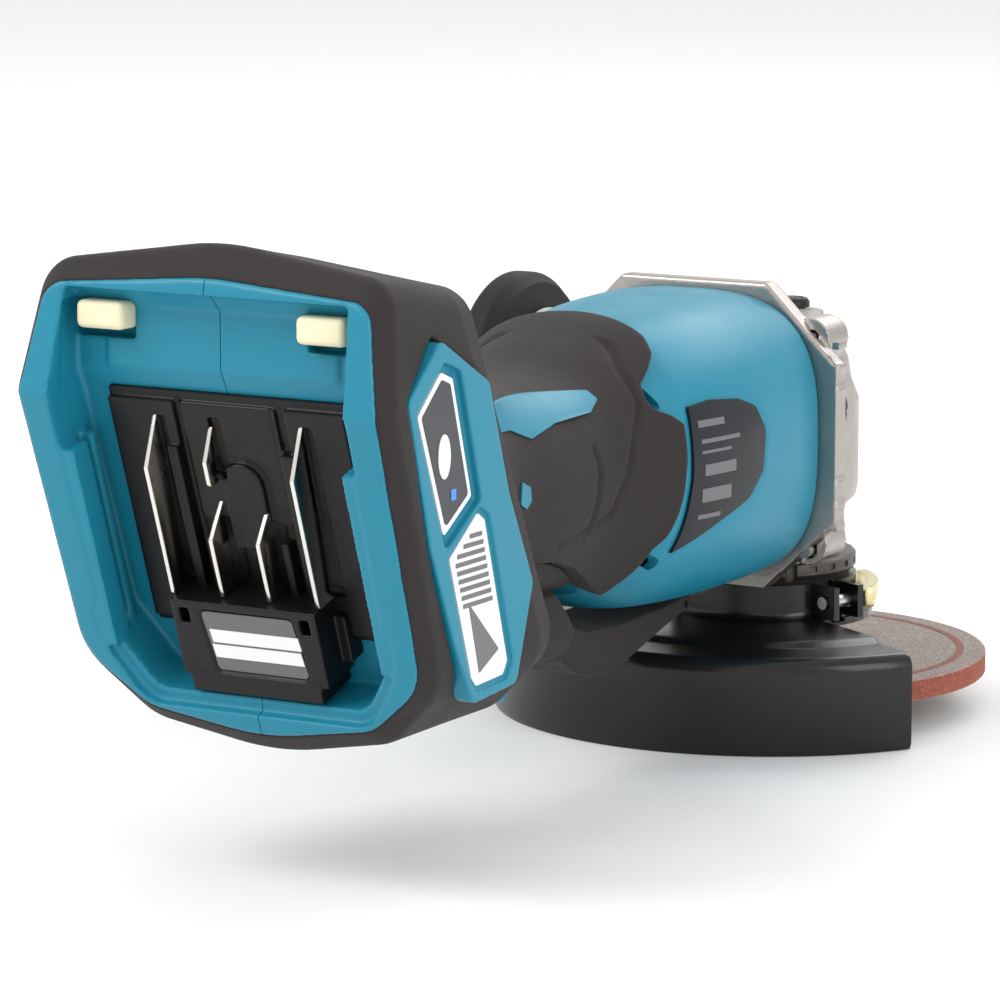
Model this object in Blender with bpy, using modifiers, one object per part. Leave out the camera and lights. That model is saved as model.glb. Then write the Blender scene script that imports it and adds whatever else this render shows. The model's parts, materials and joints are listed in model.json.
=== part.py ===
"""Cordless angle grinder with a paddle switch, modelled without its battery.

The spindle axis is the Z axis and the spindle's lower end face is the origin.  The motor axis runs
along Y, with the battery end towards -Y.  +X is the tool's right-hand side.  Lengths are written in
millimetres and scaled to metres by MM.
"""
import math

import bmesh
import bpy
from mathutils import Matrix, Vector

MM = 0.001
GAP = 0.3                      # air left between pieces that touch
COVER_GAP = 0.8                # the same under the rear cover, whose facets differ from the housing's

# Driving dimensions
WHEEL_R = 62.5
WHEEL_T = 6.0
WHEEL_TOP = 8.5
GUARD_R = 75.0
GUARD_BOTTOM = -7.0
GUARD_TOP = 19.0
GUARD_SHEET = 2.0
GUARD_CENTRE = -108.0          # direction of the middle of the closed side, degrees from +X
GUARD_CLOSED = 172.0
COLLAR_R = 24.0
AXIS_Z = 73.0                  # height of the motor axis
HEAD_R = 29.0
HEAD_BOTTOM = 36.5
HEAD_TOP = 104.0
FLANGE_HALF = 43.0
FLANGE_Y = (-42.0, -36.0)
SHELL_T = 2.5
RUBBER_T = 2.6
SPINDLE_R = 7.0
SHAFT_R = 4.0
SHAFT_END_R = 2.8              # where the pinion sits
GEAR_TEETH = 34
PINION_TEETH = 10
GEAR_PITCH_R = 21.0
GEAR_FACE = 5.5
HANDLE_Z = 78.0                # height of the side handle's axis
PADDLE_PIVOT = (0.0, -63.0, 25.5)
LOCK_OFF_PIVOT = (0.0, -141.0, 31.5)
CLAMP_ANGLE = math.radians(-20)
CLAMP_Z = 25.5
REAR_Z = 85.5                  # middle height of the battery housing
REAR_LEAN = 0.35               # how far forward the battery face leans per unit of drop
GRIP_LEAN = -0.22              # the grip cover's front edge leans the other way
REAR_KINK = 27.0               # height above REAR_Z where the battery face turns forward
RAIL_ANGLE = math.atan(REAR_LEAN)
BAY_Y = -261.0                 # middle of the battery bay's floor
BAY_FLOOR_T = 3.0
BLADE_T = 1.4
# Each terminal blade: place across the bay, place up the bay, height.
TERMINALS = ((-20, 0.5, 38), (20, 0.5, 38), (-6.5, 12, 14), (-6.5, -11, 14), (6.5, -11, 14))

# Each station of the handle and battery housing: y, middle height, half width, half height,
# squareness of the section, lean.
HOUSING_STATIONS = (
    (-124.4, 73.0, 30.0, 32.0, 2.4, 0.0),
    (-140.0, 76.0, 26.5, 29.0, 2.5, 0.0),
    (-186.0, 80.0, 26.0, 29.0, 2.5, 0.1),
    (-201.0, 83.0, 30.0, 36.0, 3.0, 0.3),
    (-213.0, 85.5, 41.5, 51.0, 5.0, REAR_LEAN),
    (-223.0, 85.5, 45.5, 56.0, 5.0, REAR_LEAN),
    (-250.0, 85.5, 46.5, 56.5, 5.0, REAR_LEAN),
    (-277.0, 85.5, 46.5, 56.5, 5.0, REAR_LEAN),
)
SHROUD_STATIONS = (
    (-42.3, 73.0, 40.5, 42.0, 2.8, 0.0),
    (-60.0, 73.0, 42.0, 42.5, 2.7, 0.0),
    (-85.0, 73.0, 41.0, 41.5, 2.6, 0.0),
    (-108.0, 73.0, 36.5, 38.0, 2.5, 0.0),
    (-124.0, 73.0, 30.0, 32.0, 2.4, 0.0),
)

for leftover in list(bpy.data.objects):
    bpy.data.objects.remove(leftover, do_unlink=True)

PARTS = bpy.data.collections.new("Angle grinder")
CUTTERS = bpy.data.collections.new("Cutters")
for collection in (PARTS, CUTTERS):
    bpy.context.scene.collection.children.link(collection)
CUTTERS.hide_render = True


# ---------------------------------------------------------------- materials
def material(name, colour, roughness, metallic=0.0):
    mat = bpy.data.materials.new(name)
    mat.use_nodes = True
    shader = mat.node_tree.nodes["Principled BSDF"]
    shader.inputs["Base Color"].default_value = (*colour, 1.0)
    shader.inputs["Roughness"].default_value = roughness
    shader.inputs["Metallic"].default_value = metallic
    mat.diffuse_color = (*colour, 1.0)
    return mat


TEAL = material("Teal plastic", (0.02, 0.25, 0.38), 0.45)
RUBBER = material("Dark rubber", (0.055, 0.05, 0.048), 0.85)
BLACK = material("Black plastic", (0.02, 0.02, 0.02), 0.5)
GUARD_PAINT = material("Black gloss paint", (0.015, 0.014, 0.013), 0.2)
ALUMINIUM = material("Cast aluminium", (0.5, 0.48, 0.45), 0.4, 1.0)
STEEL = material("Steel", (0.6, 0.59, 0.57), 0.3, 1.0)
NICKEL = material("Nickel plate", (0.75, 0.7, 0.62), 0.2, 1.0)
ZINC = material("Yellow zinc plate", (0.6, 0.52, 0.28), 0.35, 1.0)
COPPER = material("Copper winding", (0.6, 0.25, 0.12), 0.4, 1.0)
ABRASIVE = material("Abrasive", (0.3, 0.13, 0.1), 0.95)
CREAM = material("Cream rubber", (0.8, 0.76, 0.52), 0.7)
LABEL = material("Label film", (0.06, 0.08, 0.11), 0.3)
WHITE_LABEL = material("White label", (0.8, 0.8, 0.8), 0.4)
GREY = material("Light grey plastic", (0.55, 0.55, 0.55), 0.5)
BOARD = material("Potted board", (0.03, 0.12, 0.06), 0.5)


# ---------------------------------------------------------------- mesh helpers
def add_object(name, mesh, mat, location=(0, 0, 0), rotation=(0, 0, 0), parent=None):
    """Place a mesh, given in millimetres, at a location in millimetres."""
    mesh.transform(Matrix.Scale(MM, 4))
    obj = bpy.data.objects.new(name, mesh)
    obj.location = Vector(location) * MM
    obj.rotation_euler = rotation
    if mat is not None:
        mesh.materials.append(mat)
    PARTS.objects.link(obj)
    if parent is not None:
        obj.parent = parent
        obj.location = (Vector(location) * MM) - parent.location
    return obj


def finish_mesh(name, bm):
    bmesh.ops.recalc_face_normals(bm, faces=bm.faces)
    mesh = bpy.data.meshes.new(name)
    bm.to_mesh(mesh)
    bm.free()
    mesh.shade_smooth()
    mesh.set_sharp_from_angle(angle=math.radians(35))
    return mesh


def pivot(name, location):
    """An empty on a joint's axis, for the pieces that turn or slide on it."""
    empty = bpy.data.objects.new(name, None)
    empty.location = Vector(location) * MM
    PARTS.objects.link(empty)
    return empty


def bevel(obj, width, segments=2):
    modifier = obj.modifiers.new("Rounded edges", "BEVEL")
    modifier.width = width * MM
    modifier.segments = segments
    modifier.limit_method = "ANGLE"
    modifier.angle_limit = math.radians(40)
    return obj


def block(name, size, centre, mat, rotation=(0, 0, 0), radius=0.0, parent=None):
    bm = bmesh.new()
    bmesh.ops.create_cube(bm, size=1.0)
    bmesh.ops.scale(bm, vec=size, verts=bm.verts)
    obj = add_object(name, finish_mesh(name, bm), mat, centre, rotation, parent)
    if radius:
        bevel(obj, radius)
    return obj


def cylinder(name, radius, length, centre, mat, axis="Z", sides=32, parent=None):
    bm = bmesh.new()
    bmesh.ops.create_cone(bm, cap_ends=True, segments=sides, radius1=radius, radius2=radius, depth=length)
    turn = {"Z": (0, 0, 0), "Y": (math.pi / 2, 0, 0), "X": (0, math.pi / 2, 0)}[axis]
    return add_object(name, finish_mesh(name, bm), mat, centre, turn, parent)


def turned(name, profile, mat, location=(0, 0, 0), axis="Z", steps=32, parent=None):
    """Turn a closed (radius, height) profile, listed down its outer side, with a Screw modifier."""
    bm = bmesh.new()
    verts = [bm.verts.new((radius, 0, height)) for radius, height in profile]
    for first, second in zip(verts, verts[1:] + verts[:1]):
        if min(first.co.x, second.co.x) > 0 or first.co.x != second.co.x:
            bm.edges.new((first, second))
    mesh = bpy.data.meshes.new(name)
    bm.to_mesh(mesh)
    bm.free()
    turn = {"Z": (0, 0, 0), "Y": (-math.pi / 2, 0, 0), "X": (0, math.pi / 2, 0)}[axis]
    obj = add_object(name, mesh, mat, location, turn, parent)
    screw = obj.modifiers.new("Turned", "SCREW")
    screw.steps = steps
    screw.render_steps = steps
    screw.use_merge_vertices = True
    screw.merge_threshold = 0.00001
    return obj


def ring_profile(outer, inner, top, bottom):
    return [(outer, top), (outer, bottom), (inner, bottom), (inner, top)]


def prism(name, outline, thickness, mat, location=(0, 0, 0), rotation=(0, 0, 0), radius=0.0, parent=None):
    """Extrude a flat outline upwards along the object's own Z."""
    bm = bmesh.new()
    face = bm.faces.new([bm.verts.new((x, y, 0)) for x, y in outline])
    grown = bmesh.ops.extrude_face_region(bm, geom=[face])["geom"]
    moved = [item for item in grown if isinstance(item, bmesh.types.BMVert)]
    bmesh.ops.translate(bm, verts=moved, vec=(0, 0, thickness))
    obj = add_object(name, finish_mesh(name, bm), mat, location, rotation, parent)
    if radius:
        bevel(obj, radius)
    return obj


def boolean(target, other, operation="DIFFERENCE"):
    """Cut with, or join, another object, which then only guides the modifier."""
    other.hide_render = True
    other.display_type = "WIRE"
    PARTS.objects.unlink(other)
    CUTTERS.objects.link(other)
    modifier = target.modifiers.new(operation.title(), "BOOLEAN")
    modifier.operation = operation
    modifier.object = other
    modifier.solver = "EXACT"
    return target


def section(half_width, half_height, squareness, start, stop, count):
    """Points (x, z) of a superellipse from angle start to stop, measured from +Z towards +X."""
    points = []
    for index in range(count):
        angle = math.radians(start + (stop - start) * index / (count - 1))
        across = math.sin(angle)
        up = math.cos(angle)
        x = half_width * math.copysign(abs(across) ** (2 / squareness), across)
        z = half_height * math.copysign(abs(up) ** (2 / squareness), up)
        points.append((x, z))
    return points


def station_row(station, offset, start, stop, count):
    """One row of points round a station, grown outwards by offset."""
    y, middle, half_width, half_height, squareness, lean = station
    row = []
    for x, z in section(half_width + offset, half_height + offset, squareness, start, stop, count):
        row.append((x, y + lean_shift(z, lean), middle + z))
    return row


def lean_shift(z, lean):
    """How far a leaning face moves in Y at height z above its middle: it bends forward at REAR_KINK."""
    return -lean * min(z, REAR_KINK) + 0.6 * lean * max(z - REAR_KINK, 0.0)


def station_at(stations, y):
    """A station between two of the given ones."""
    for near, far in zip(stations, stations[1:]):
        if far[0] <= y <= near[0]:
            part = (near[0] - y) / (near[0] - far[0])
            return tuple(a + (b - a) * part for a, b in zip(near, far))
    raise ValueError("no station at that y")


def sleeve(name, outer, inner, mat, closed):
    """A shell between two grids of points, with its rims filled.  Built as a loft by hand."""
    bm = bmesh.new()
    grids = [[[bm.verts.new(point) for point in row] for row in rows] for rows in (outer, inner)]
    rows = len(outer)
    columns = len(outer[0])
    wrap = columns if closed else columns - 1
    for grid in grids:
        for r in range(rows - 1):
            for c in range(wrap):
                n = (c + 1) % columns
                bm.faces.new((grid[r][c], grid[r][n], grid[r + 1][n], grid[r + 1][c]))
    for r in (0, rows - 1):
        for c in range(wrap):
            n = (c + 1) % columns
            bm.faces.new((grids[0][r][c], grids[0][r][n], grids[1][r][n], grids[1][r][c]))
    if not closed:
        for c in (0, columns - 1):
            for r in range(rows - 1):
                bm.faces.new((grids[0][r][c], grids[0][r + 1][c], grids[1][r + 1][c], grids[1][r][c]))
    return add_object(name, finish_mesh(name, bm), mat)


def full_rows(stations, offset, count=32):
    return [station_row(s, offset, 0, 360 * (count - 1) / count, count) for s in stations]


def bevel_gear(name, teeth, pitch_r, cone_angle, face_width, bore, hub_r, hub_length, mat, location,
               rotation, phase, parent):
    """A straight bevel gear with its apex at the object's origin and its cone opening along -Z."""
    module = 2 * pitch_r / teeth
    distance = pitch_r / math.sin(cone_angle)
    tip = cone_angle + math.atan(0.75 * module / distance)
    root = cone_angle - math.atan(1.15 * module / distance)
    pitch = 2 * math.pi / teeth
    inner_scale = (distance - face_width) / distance
    bm = bmesh.new()
    rims = []
    for scale in (1.0, inner_scale):
        rim = []
        for tooth in range(teeth):
            for cone, part in ((root, -0.24), (tip, -0.11), (tip, 0.11), (root, 0.24)):
                turn = phase + pitch * (tooth + part)
                reach = distance * scale
                across = reach * math.sin(cone)
                down = -reach * math.cos(cone)
                rim.append(bm.verts.new((across * math.cos(turn), across * math.sin(turn), down)))
        rims.append(rim)
    heights = {"back": -distance * math.cos(cone_angle) - hub_length,
               "front": -distance * inner_scale * math.cos(root) + GAP}
    count = len(rims[0])
    rings = {}
    for key, radius, height in (("hub", hub_r, heights["back"]), ("bore_low", bore, heights["back"]),
                                ("bore_high", bore, heights["front"])):
        ring = []
        for vert in rims[0]:
            direction = Vector((vert.co.x, vert.co.y, 0)).normalized()
            ring.append(bm.verts.new((direction.x * radius, direction.y * radius, height)))
        rings[key] = ring
    order = (rims[1], rims[0], rings["hub"], rings["bore_low"], rings["bore_high"])
    for first, second in zip(order, order[1:] + order[:1]):
        for i in range(count):
            n = (i + 1) % count
            bm.faces.new((first[i], first[n], second[n], second[i]))
    return add_object(name, finish_mesh(name, bm), mat, location, rotation, parent)


# ---------------------------------------------------------------- spindle group
def spindle_group():
    axis = pivot("spindle_axis", (0, 0, 0))
    turned("spindle", [(0, 94), (5, 94), (5, 66), (8, 66), (8, 17.4), (SPINDLE_R, 17.4),
                       (SPINDLE_R, 0), (0, 0)], STEEL, steps=24, parent=axis)
    turned("inner_flange", [(21, 17), (21, 12.8), (10.8, 12.8), (10.8, 9.2), (SPINDLE_R + GAP, 9.2),
                            (SPINDLE_R + GAP, 17)], STEEL, steps=28, parent=axis)
    bottom = WHEEL_TOP - WHEEL_T
    hub_rise = 4.0
    turned("grinding_wheel", [(11.1, WHEEL_TOP + hub_rise), (21, WHEEL_TOP + hub_rise), (26, WHEEL_TOP),
                              (WHEEL_R, WHEEL_TOP), (WHEEL_R, bottom), (26, bottom), (21, bottom + hub_rise),
                              (11.1, bottom + hub_rise)], ABRASIVE, steps=48, parent=axis)
    nut = turned("lock_nut", [(SPINDLE_R + GAP, 8.6), (10.7, 8.6), (10.7, 6.2), (19, 6.2), (19, 1.5),
                              (SPINDLE_R + GAP, 1.5)], BLACK, steps=28, parent=axis)
    for index in range(4):
        angle = math.radians(45 + 90 * index)
        hole = cylinder(f"nut_hole_{index}", 2.5, 6, (15 * math.cos(angle), 15 * math.sin(angle), 1.0), None,
                        sides=12)
        boolean(nut, hole)
    cone = math.atan(GEAR_TEETH / PINION_TEETH)
    bevel_gear("bevel_gear", GEAR_TEETH, GEAR_PITCH_R, cone, GEAR_FACE, 8 + GAP, 13, 5.0, STEEL, (0, 0, AXIS_Z),
               (0, 0, 0), math.radians(-90) + math.pi / GEAR_TEETH, axis)


# ---------------------------------------------------------------- rotor group
def rotor_group():
    axis = pivot("rotor_axis", (0, -70, AXIS_Z))
    turned("rotor_shaft", [(0, -15.5), (SHAFT_END_R, -15.5), (SHAFT_END_R, -26), (SHAFT_R, -26),
                           (SHAFT_R, -122), (0, -122)], STEEL, (0, 0, AXIS_Z), "Y", 20, axis)
    pinion_r = GEAR_PITCH_R * PINION_TEETH / GEAR_TEETH
    cone = math.atan(PINION_TEETH / GEAR_TEETH)
    bevel_gear("pinion", PINION_TEETH, pinion_r, cone, GEAR_FACE, SHAFT_END_R + GAP, 6.5, 3.5, STEEL,
               (0, 0, AXIS_Z), (-math.pi / 2, 0, 0), math.radians(-90), axis)
    turned("rotor_core", ring_profile(15, SHAFT_R + GAP, 22, -22), STEEL, (0, -84, AXIS_Z), "Y", 32, axis)
    fan = turned("cooling_fan", [(33, 1.5), (33, -1.5), (9, -1.5), (9, -5), (SHAFT_R + GAP, -5),
                                 (SHAFT_R + GAP, 1.5)], BLACK, (0, -47, AXIS_Z), "Y", 28, axis)
    blades = 11
    for index in range(blades):
        angle = 2 * math.pi * index / blades
        place = (20.5 * math.sin(angle), -50.5, AXIS_Z + 20.5 * math.cos(angle))
        blade = block(f"fan_blade_{index}", (1.4, 6, 22), place, BLACK, (0, angle + 0.35, 0))
        boolean(fan, blade, "UNION")


# ---------------------------------------------------------------- motor and bearings
def motor_parts():
    stator = turned("stator", ring_profile(28, 15.8, 24, -24), COPPER, (0, -84, AXIS_Z), "Y", 28)
    for index in range(6):
        angle = math.radians(60 * index)
        place = (21.5 * math.sin(angle), -84, AXIS_Z + 21.5 * math.cos(angle))
        slot = block(f"stator_slot_{index}", (3, 60, 8), place, None, (0, angle, 0))
        boolean(stator, slot)
    turned("front_motor_bearing", ring_profile(11, SHAFT_R + GAP, 3.5, -3.5), STEEL, (0, -36, AXIS_Z), "Y", 20)
    turned("rear_motor_bearing", ring_profile(9.5, SHAFT_R + GAP, 3, -3), STEEL, (0, -116, AXIS_Z), "Y", 20)
    turned("lower_spindle_bearing", ring_profile(15.8, 8 + GAP, 30, 21), STEEL, steps=24)
    turned("upper_spindle_bearing", ring_profile(9, 5 + GAP, 93, 83), STEEL, steps=20)


# ---------------------------------------------------------------- gear head
def octagon(half, corner):
    return [(half, corner), (corner, half), (-corner, half), (-half, corner),
            (-half, -corner), (-corner, -half), (corner, -half), (half, -corner)]


def head_rows():
    """Plan outlines of the gear head, a flat back with a round nose, at rising heights."""
    rows = []
    for radius, height in ((26.5, HEAD_BOTTOM), (HEAD_R, HEAD_BOTTOM + 3), (HEAD_R, 92), (25, 101),
                           (20, HEAD_TOP)):
        row = [(-radius, FLANGE_Y[1] - 2, height)]
        for index in range(17):
            angle = math.pi * (1 - index / 16)
            row.append((radius * math.cos(angle), radius * math.sin(angle) - 1, height))
        row.append((radius, FLANGE_Y[1] - 2, height))
        rows.append(row)
    return rows


def head_block():
    bm = bmesh.new()
    rows = [[bm.verts.new(point) for point in row] for row in head_rows()]
    for low, high in zip(rows, rows[1:]):
        for i in range(len(low)):
            n = (i + 1) % len(low)
            bm.faces.new((low[i], low[n], high[n], high[i]))
    bm.faces.new(rows[0])
    bm.faces.new(rows[-1])
    return add_object("gear_housing", finish_mesh("gear_housing", bm), ALUMINIUM)


def gear_head():
    head = head_block()
    flange = prism("head_flange", octagon(FLANGE_HALF, 22), FLANGE_Y[1] - FLANGE_Y[0], ALUMINIUM,
                   (0, FLANGE_Y[1], AXIS_Z), (math.pi / 2, 0, 0))
    boolean(head, flange, "UNION")
    boss = cylinder("handle_boss", 11, 12, (-34, 0, HANDLE_Z), ALUMINIUM, "X", 28)
    boolean(head, boss, "UNION")
    for name, radius, length, centre, axis in (
            ("gear_room", 25, 42, (0, 0, HEAD_BOTTOM + 19), "Z"),
            ("top_bearing_seat", 9 + GAP, 40, (0, 0, 75), "Z"),
            ("pinion_bore", 11 + GAP, 34, (0, -27, AXIS_Z), "Y"),
            ("handle_thread", 5, 22, (-35, 0, HANDLE_Z), "X"),
            ("button_bore", 5.5, 12, (0, 17, 103), "Z"),
            ("button_pin_bore", 2.9, 40, (0, 17, 85), "Z")):
        boolean(head, cylinder(name, radius, length, centre, None, axis, 32))
    for index, (x, z) in enumerate(screw_places()):
        hole = cylinder(f"screw_hole_{index}", 2.4, 14, (x, -39, z), None, "Y", 14)
        boolean(head, hole)
    box = turned("bearing_box", [(33, 36.2), (33, 31.5), (COLLAR_R, 31.5), (COLLAR_R, 18), (9.5, 18),
                                 (9.5, 20.6), (16.1, 20.6), (16.1, 36.2)], BLACK, steps=32)
    corner_cut = 28
    for index in range(4):
        angle = math.radians(45 + 90 * index)
        notch = cylinder(f"box_notch_{index}", 3.5, 10, (corner_cut * 1.2 * math.cos(angle),
                                                         corner_cut * 1.2 * math.sin(angle), 34), None, sides=14)
        boolean(box, notch)


def screw_places():
    return [(sx * 33.5, AXIS_Z + sz * 28.5) for sx in (-1, 1) for sz in (-1, 1)]


def head_screws():
    for index, (x, z) in enumerate(screw_places()):
        turned(f"head_screw_{index + 1}", [(0, 3.6), (3.8, 3.6), (3.8, GAP), (2, GAP), (2, -5.5), (0, -5.5)], STEEL,
               (x, FLANGE_Y[1], z), "Y", 12)


def shaft_lock_button():
    axis = pivot("shaft_lock_axis", (0, 17, 103))
    turned("shaft_lock_button", [(0, 109), (3.5, 109), (5.1, 107.5), (5.1, 102), (2.5, 102), (2.5, 74.5),
                                 (0, 74.5)], BLACK, (0, 17, 0), steps=24, parent=axis)


# ---------------------------------------------------------------- guard
def wheel_guard():
    axis = pivot("guard_axis", (0, 0, GUARD_TOP))
    inner = GUARD_R - GUARD_SHEET
    collar_in = COLLAR_R + GAP
    collar_out = collar_in + GUARD_SHEET
    guard = turned("wheel_guard", [
        (collar_out, 30), (collar_out, GUARD_TOP + 1.5), (57, GUARD_TOP + 1.5), (60, GUARD_TOP),
        (GUARD_R - 4, GUARD_TOP), (GUARD_R - 1.2, GUARD_TOP - 1.2), (GUARD_R, GUARD_TOP - 4),
        (GUARD_R, GUARD_BOTTOM), (inner, GUARD_BOTTOM), (inner, GUARD_TOP - 4.5),
        (inner - 2.5, GUARD_TOP - GUARD_SHEET), (59.5, GUARD_TOP - GUARD_SHEET),
        (56.5, GUARD_TOP + 1.5 - GUARD_SHEET), (collar_in, GUARD_TOP + 1.5 - GUARD_SHEET),
        (collar_in, 30)], GUARD_PAINT, steps=56, parent=axis)
    open_angle = 360 - GUARD_CLOSED
    middle = GUARD_CENTRE + 180
    outline = []
    for radius, sign in ((90, 1), (31, -1)):
        for index in range(15):
            angle = math.radians(middle + sign * open_angle * (index / 14 - 0.5))
            outline.append((radius * math.cos(angle), radius * math.sin(angle)))
    wedge = prism("guard_opening", outline, 50, None, (0, 0, GUARD_BOTTOM - 5))
    boolean(guard, wedge)
    boolean(guard, clamp_block("collar_split", (14, 5, 12), (28, 0), None))
    for index, side in enumerate((-1, 1)):
        boolean(guard, clamp_block(f"collar_ear_{index}", (10, 2, 9), (30, side * 4.5), GUARD_PAINT), "UNION")
    boolean(guard, clamp_bar("ear_hole", 2.1, 24, 0, None))


def clamp_place(across, along, height=CLAMP_Z):
    """A place in the clamp's own frame, turned about the spindle axis."""
    return Matrix.Rotation(CLAMP_ANGLE, 3, "Z") @ Vector((across, along, height))


def clamp_block(name, size, place, mat):
    return block(name, size, clamp_place(*place), mat, (0, 0, CLAMP_ANGLE))


def clamp_bar(name, radius, length, along, mat):
    bar = cylinder(name, radius, length, clamp_place(31, along), mat, "Y", 14)
    bar.rotation_euler = (math.pi / 2, 0, CLAMP_ANGLE)
    return bar


def guard_clamp():
    pin = clamp_place(31, 10.5)
    axis = pivot("clamp_axis", pin)
    outline = []
    for radius, angles in ((32.6, (24, 36, 48, 60, 72)), (29.0, (72, 60, 48, 36, 26))):
        for angle in angles:
            turn = math.radians(angle)
            outline.append((radius * math.cos(turn) - 31, radius * math.sin(turn) - 10.5))
    outline += [(-2.6, -2.6), (0, -3.7), (2.6, -2.6), (3.6, 0)]
    prism("guard_clamp_lever", outline, 5, ZINC, clamp_place(31, 10.5, CLAMP_Z - 2.5), (0, 0, CLAMP_ANGLE),
          0.5, axis)
    clamp_bar("guard_clamp_screw", 1.8, 12.6, 0, STEEL)


# ---------------------------------------------------------------- body shells
def motor_housing():
    outer = full_rows(SHROUD_STATIONS, 0)
    inner = full_rows(SHROUD_STATIONS, -SHELL_T)
    shroud = sleeve("motor_housing", outer, inner, TEAL, True)
    for index, side in enumerate((-1, 1)):
        vent = block(f"vent_{index}", (10, 12, 26), (side * 40, -106, AXIS_Z), None)
        boolean(shroud, vent)


def rear_housing_half(name, side):
    start = 0 if side > 0 else 180
    count = 17
    outer = [station_row(s, 0, start, start + 180, count) for s in HOUSING_STATIONS]
    inner = [station_row(s, -SHELL_T, start, start + 180, count) for s in HOUSING_STATIONS]
    split = 0.15 * side
    for rows in (outer, inner):
        for row in rows:
            for end in (0, -1):
                row[end] = (split, row[end][1], row[end][2])
    half = sleeve(name, outer, inner, TEAL, False)
    boolean(half, bay_floor(f"{name}_floor", side), "UNION")
    window = block(f"{name}_window", (34, 12, 58), (side * 16.9, BAY_Y, REAR_Z - 4), None, (RAIL_ANGLE, 0, 0))
    boolean(half, window)
    rail = block(f"{name}_rail", (5, 12, 52), (side * 42.6, BAY_Y - 2, REAR_Z - 12), TEAL, (RAIL_ANGLE, 0, 0))
    boolean(half, rail, "UNION")
    slot = block(f"{name}_slot", (14, 16, 7), (side * 28, -180, 49), None)
    boolean(half, slot)
    return half


def bay_floor(name, side):
    """The half of the battery bay's floor on one side, leaning with the battery face."""
    _, _, half_width, half_height, squareness, lean = HOUSING_STATIONS[-1]
    sunk = SHELL_T / 2
    rear = []
    front = []
    for x, z in section(half_width - sunk, half_height - sunk, squareness, 0, 180, 17):
        y = BAY_Y + lean_shift(z, lean)
        for grid, shift in ((rear, -BAY_FLOOR_T / 2), (front, BAY_FLOOR_T / 2)):
            grid.append([(side * 0.15, y + shift, REAR_Z + z), (side * max(x, 0.3), y + shift, REAR_Z + z)])
    return sleeve(name, rear, front, TEAL, False)


def rear_cover():
    stations = [s for s in HOUSING_STATIONS if s[0] <= -213.0]
    outer = full_rows(stations, GAP + RUBBER_T)
    inner = full_rows(stations, COVER_GAP)
    crown = 3.6
    for row in outer:
        for index, (x, y, z) in enumerate(row):
            if z > REAR_Z + 50:
                row[index] = (x, y, z + crown * (1 - (x / 50) ** 2))
    cover = sleeve("rear_cover", outer, inner, RUBBER, True)
    for side in (-1, 1):
        boolean(cover, panel_solid(f"panel_window_{side}", side, 0.4, 8))
    return cover


def panel_outline(grow):
    """Side panel outline as (forward, up) from the panel's middle: a tall shield."""
    return [(-12 - grow, 43 + grow), (-4, 47 + grow), (12 + grow, 28 + grow), (15 + grow, -20), (8 + grow, -42 - grow),
            (-6, -45 - grow), (-9 - grow, -36), (-17 - grow, 20)]


def panel_solid(name, side, grow, thickness, mat=None):
    """The panel stands in the Y-Z plane, leaning with the battery face."""
    outline = [(-f if side < 0 else f, u) for f, u in panel_outline(grow)]
    x = side * (46.8 + GAP) if mat else side * 44
    return prism(name, outline, thickness, mat, (x, -243, REAR_Z), panel_turn(side))


def panel_turn(side):
    turn = Matrix(((0, 0, side), (side, 0, 0), (0, 1, 0)))
    lean = Matrix.Rotation(RAIL_ANGLE, 3, "X")
    return (lean @ turn).to_euler()


def side_panels():
    for name, side in (("side_panel_right", 1), ("side_panel_left", -1)):
        panel_solid(name, side, 0, RUBBER_T - 0.4, TEAL)
    x = 46.8 + 2 * GAP + RUBBER_T - 0.4
    for name, forward, up, size, mat in (("display_label", -6, 18, (15, 32), LABEL),
                                         ("speed_chart_label", 1, -22, (14, 32), WHITE_LABEL)):
        outline = [(-size[0] / 2, size[1] / 2), (size[0] / 4, size[1] / 2), (size[0] / 2, 0),
                   (size[0] / 4, -size[1] / 2), (-size[0] / 4, -size[1] / 2)]
        lean = Matrix.Rotation(RAIL_ANGLE, 3, "X")
        place = lean @ Vector((0, forward, up))
        prism(name, outline, 0.6, mat, (x, -243 + place.y, REAR_Z + place.z), panel_turn(1))


def grip_cover():
    stations = [s for s in HOUSING_STATIONS if s[0] >= -186.0]
    front = (-107.0,) + station_at(SHROUD_STATIONS, -101.0)[1:5] + (GRIP_LEAN,)
    second = (-113.0,) + station_at(SHROUD_STATIONS, -108.0)[1:5] + (GRIP_LEAN,)
    stations = [front, second] + stations
    start = -123.75
    stop = 123.75
    count = 23
    outer = [station_row(s, GAP + RUBBER_T, start, stop, count) for s in stations]
    inner = [station_row(s, GAP + 0.1, start, stop, count) for s in stations]
    sleeve("grip_cover", outer, inner, RUBBER, False)


def name_plate():
    """Curved plate on the right of the motor housing, following its section."""
    stations = [station_at(SHROUD_STATIONS, y) for y in (-76.0, -85.0, -93.0, -101.0)]
    start = 67.5
    stop = 112.5
    outer = [station_row(s, GAP + 0.9, start, stop, 5) for s in stations]
    inner = [station_row(s, GAP, start, stop, 5) for s in stations]
    sleeve("name_plate", outer, inner, LABEL, False)


# ---------------------------------------------------------------- battery bay
def in_bay(across, depth, up):
    """A place in the battery bay: depth is measured rearwards from the bay's floor."""
    lean = Matrix.Rotation(RAIL_ANGLE, 3, "X")
    return Vector((across, BAY_Y, REAR_Z)) + lean @ Vector((0, -depth, up))


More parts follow.
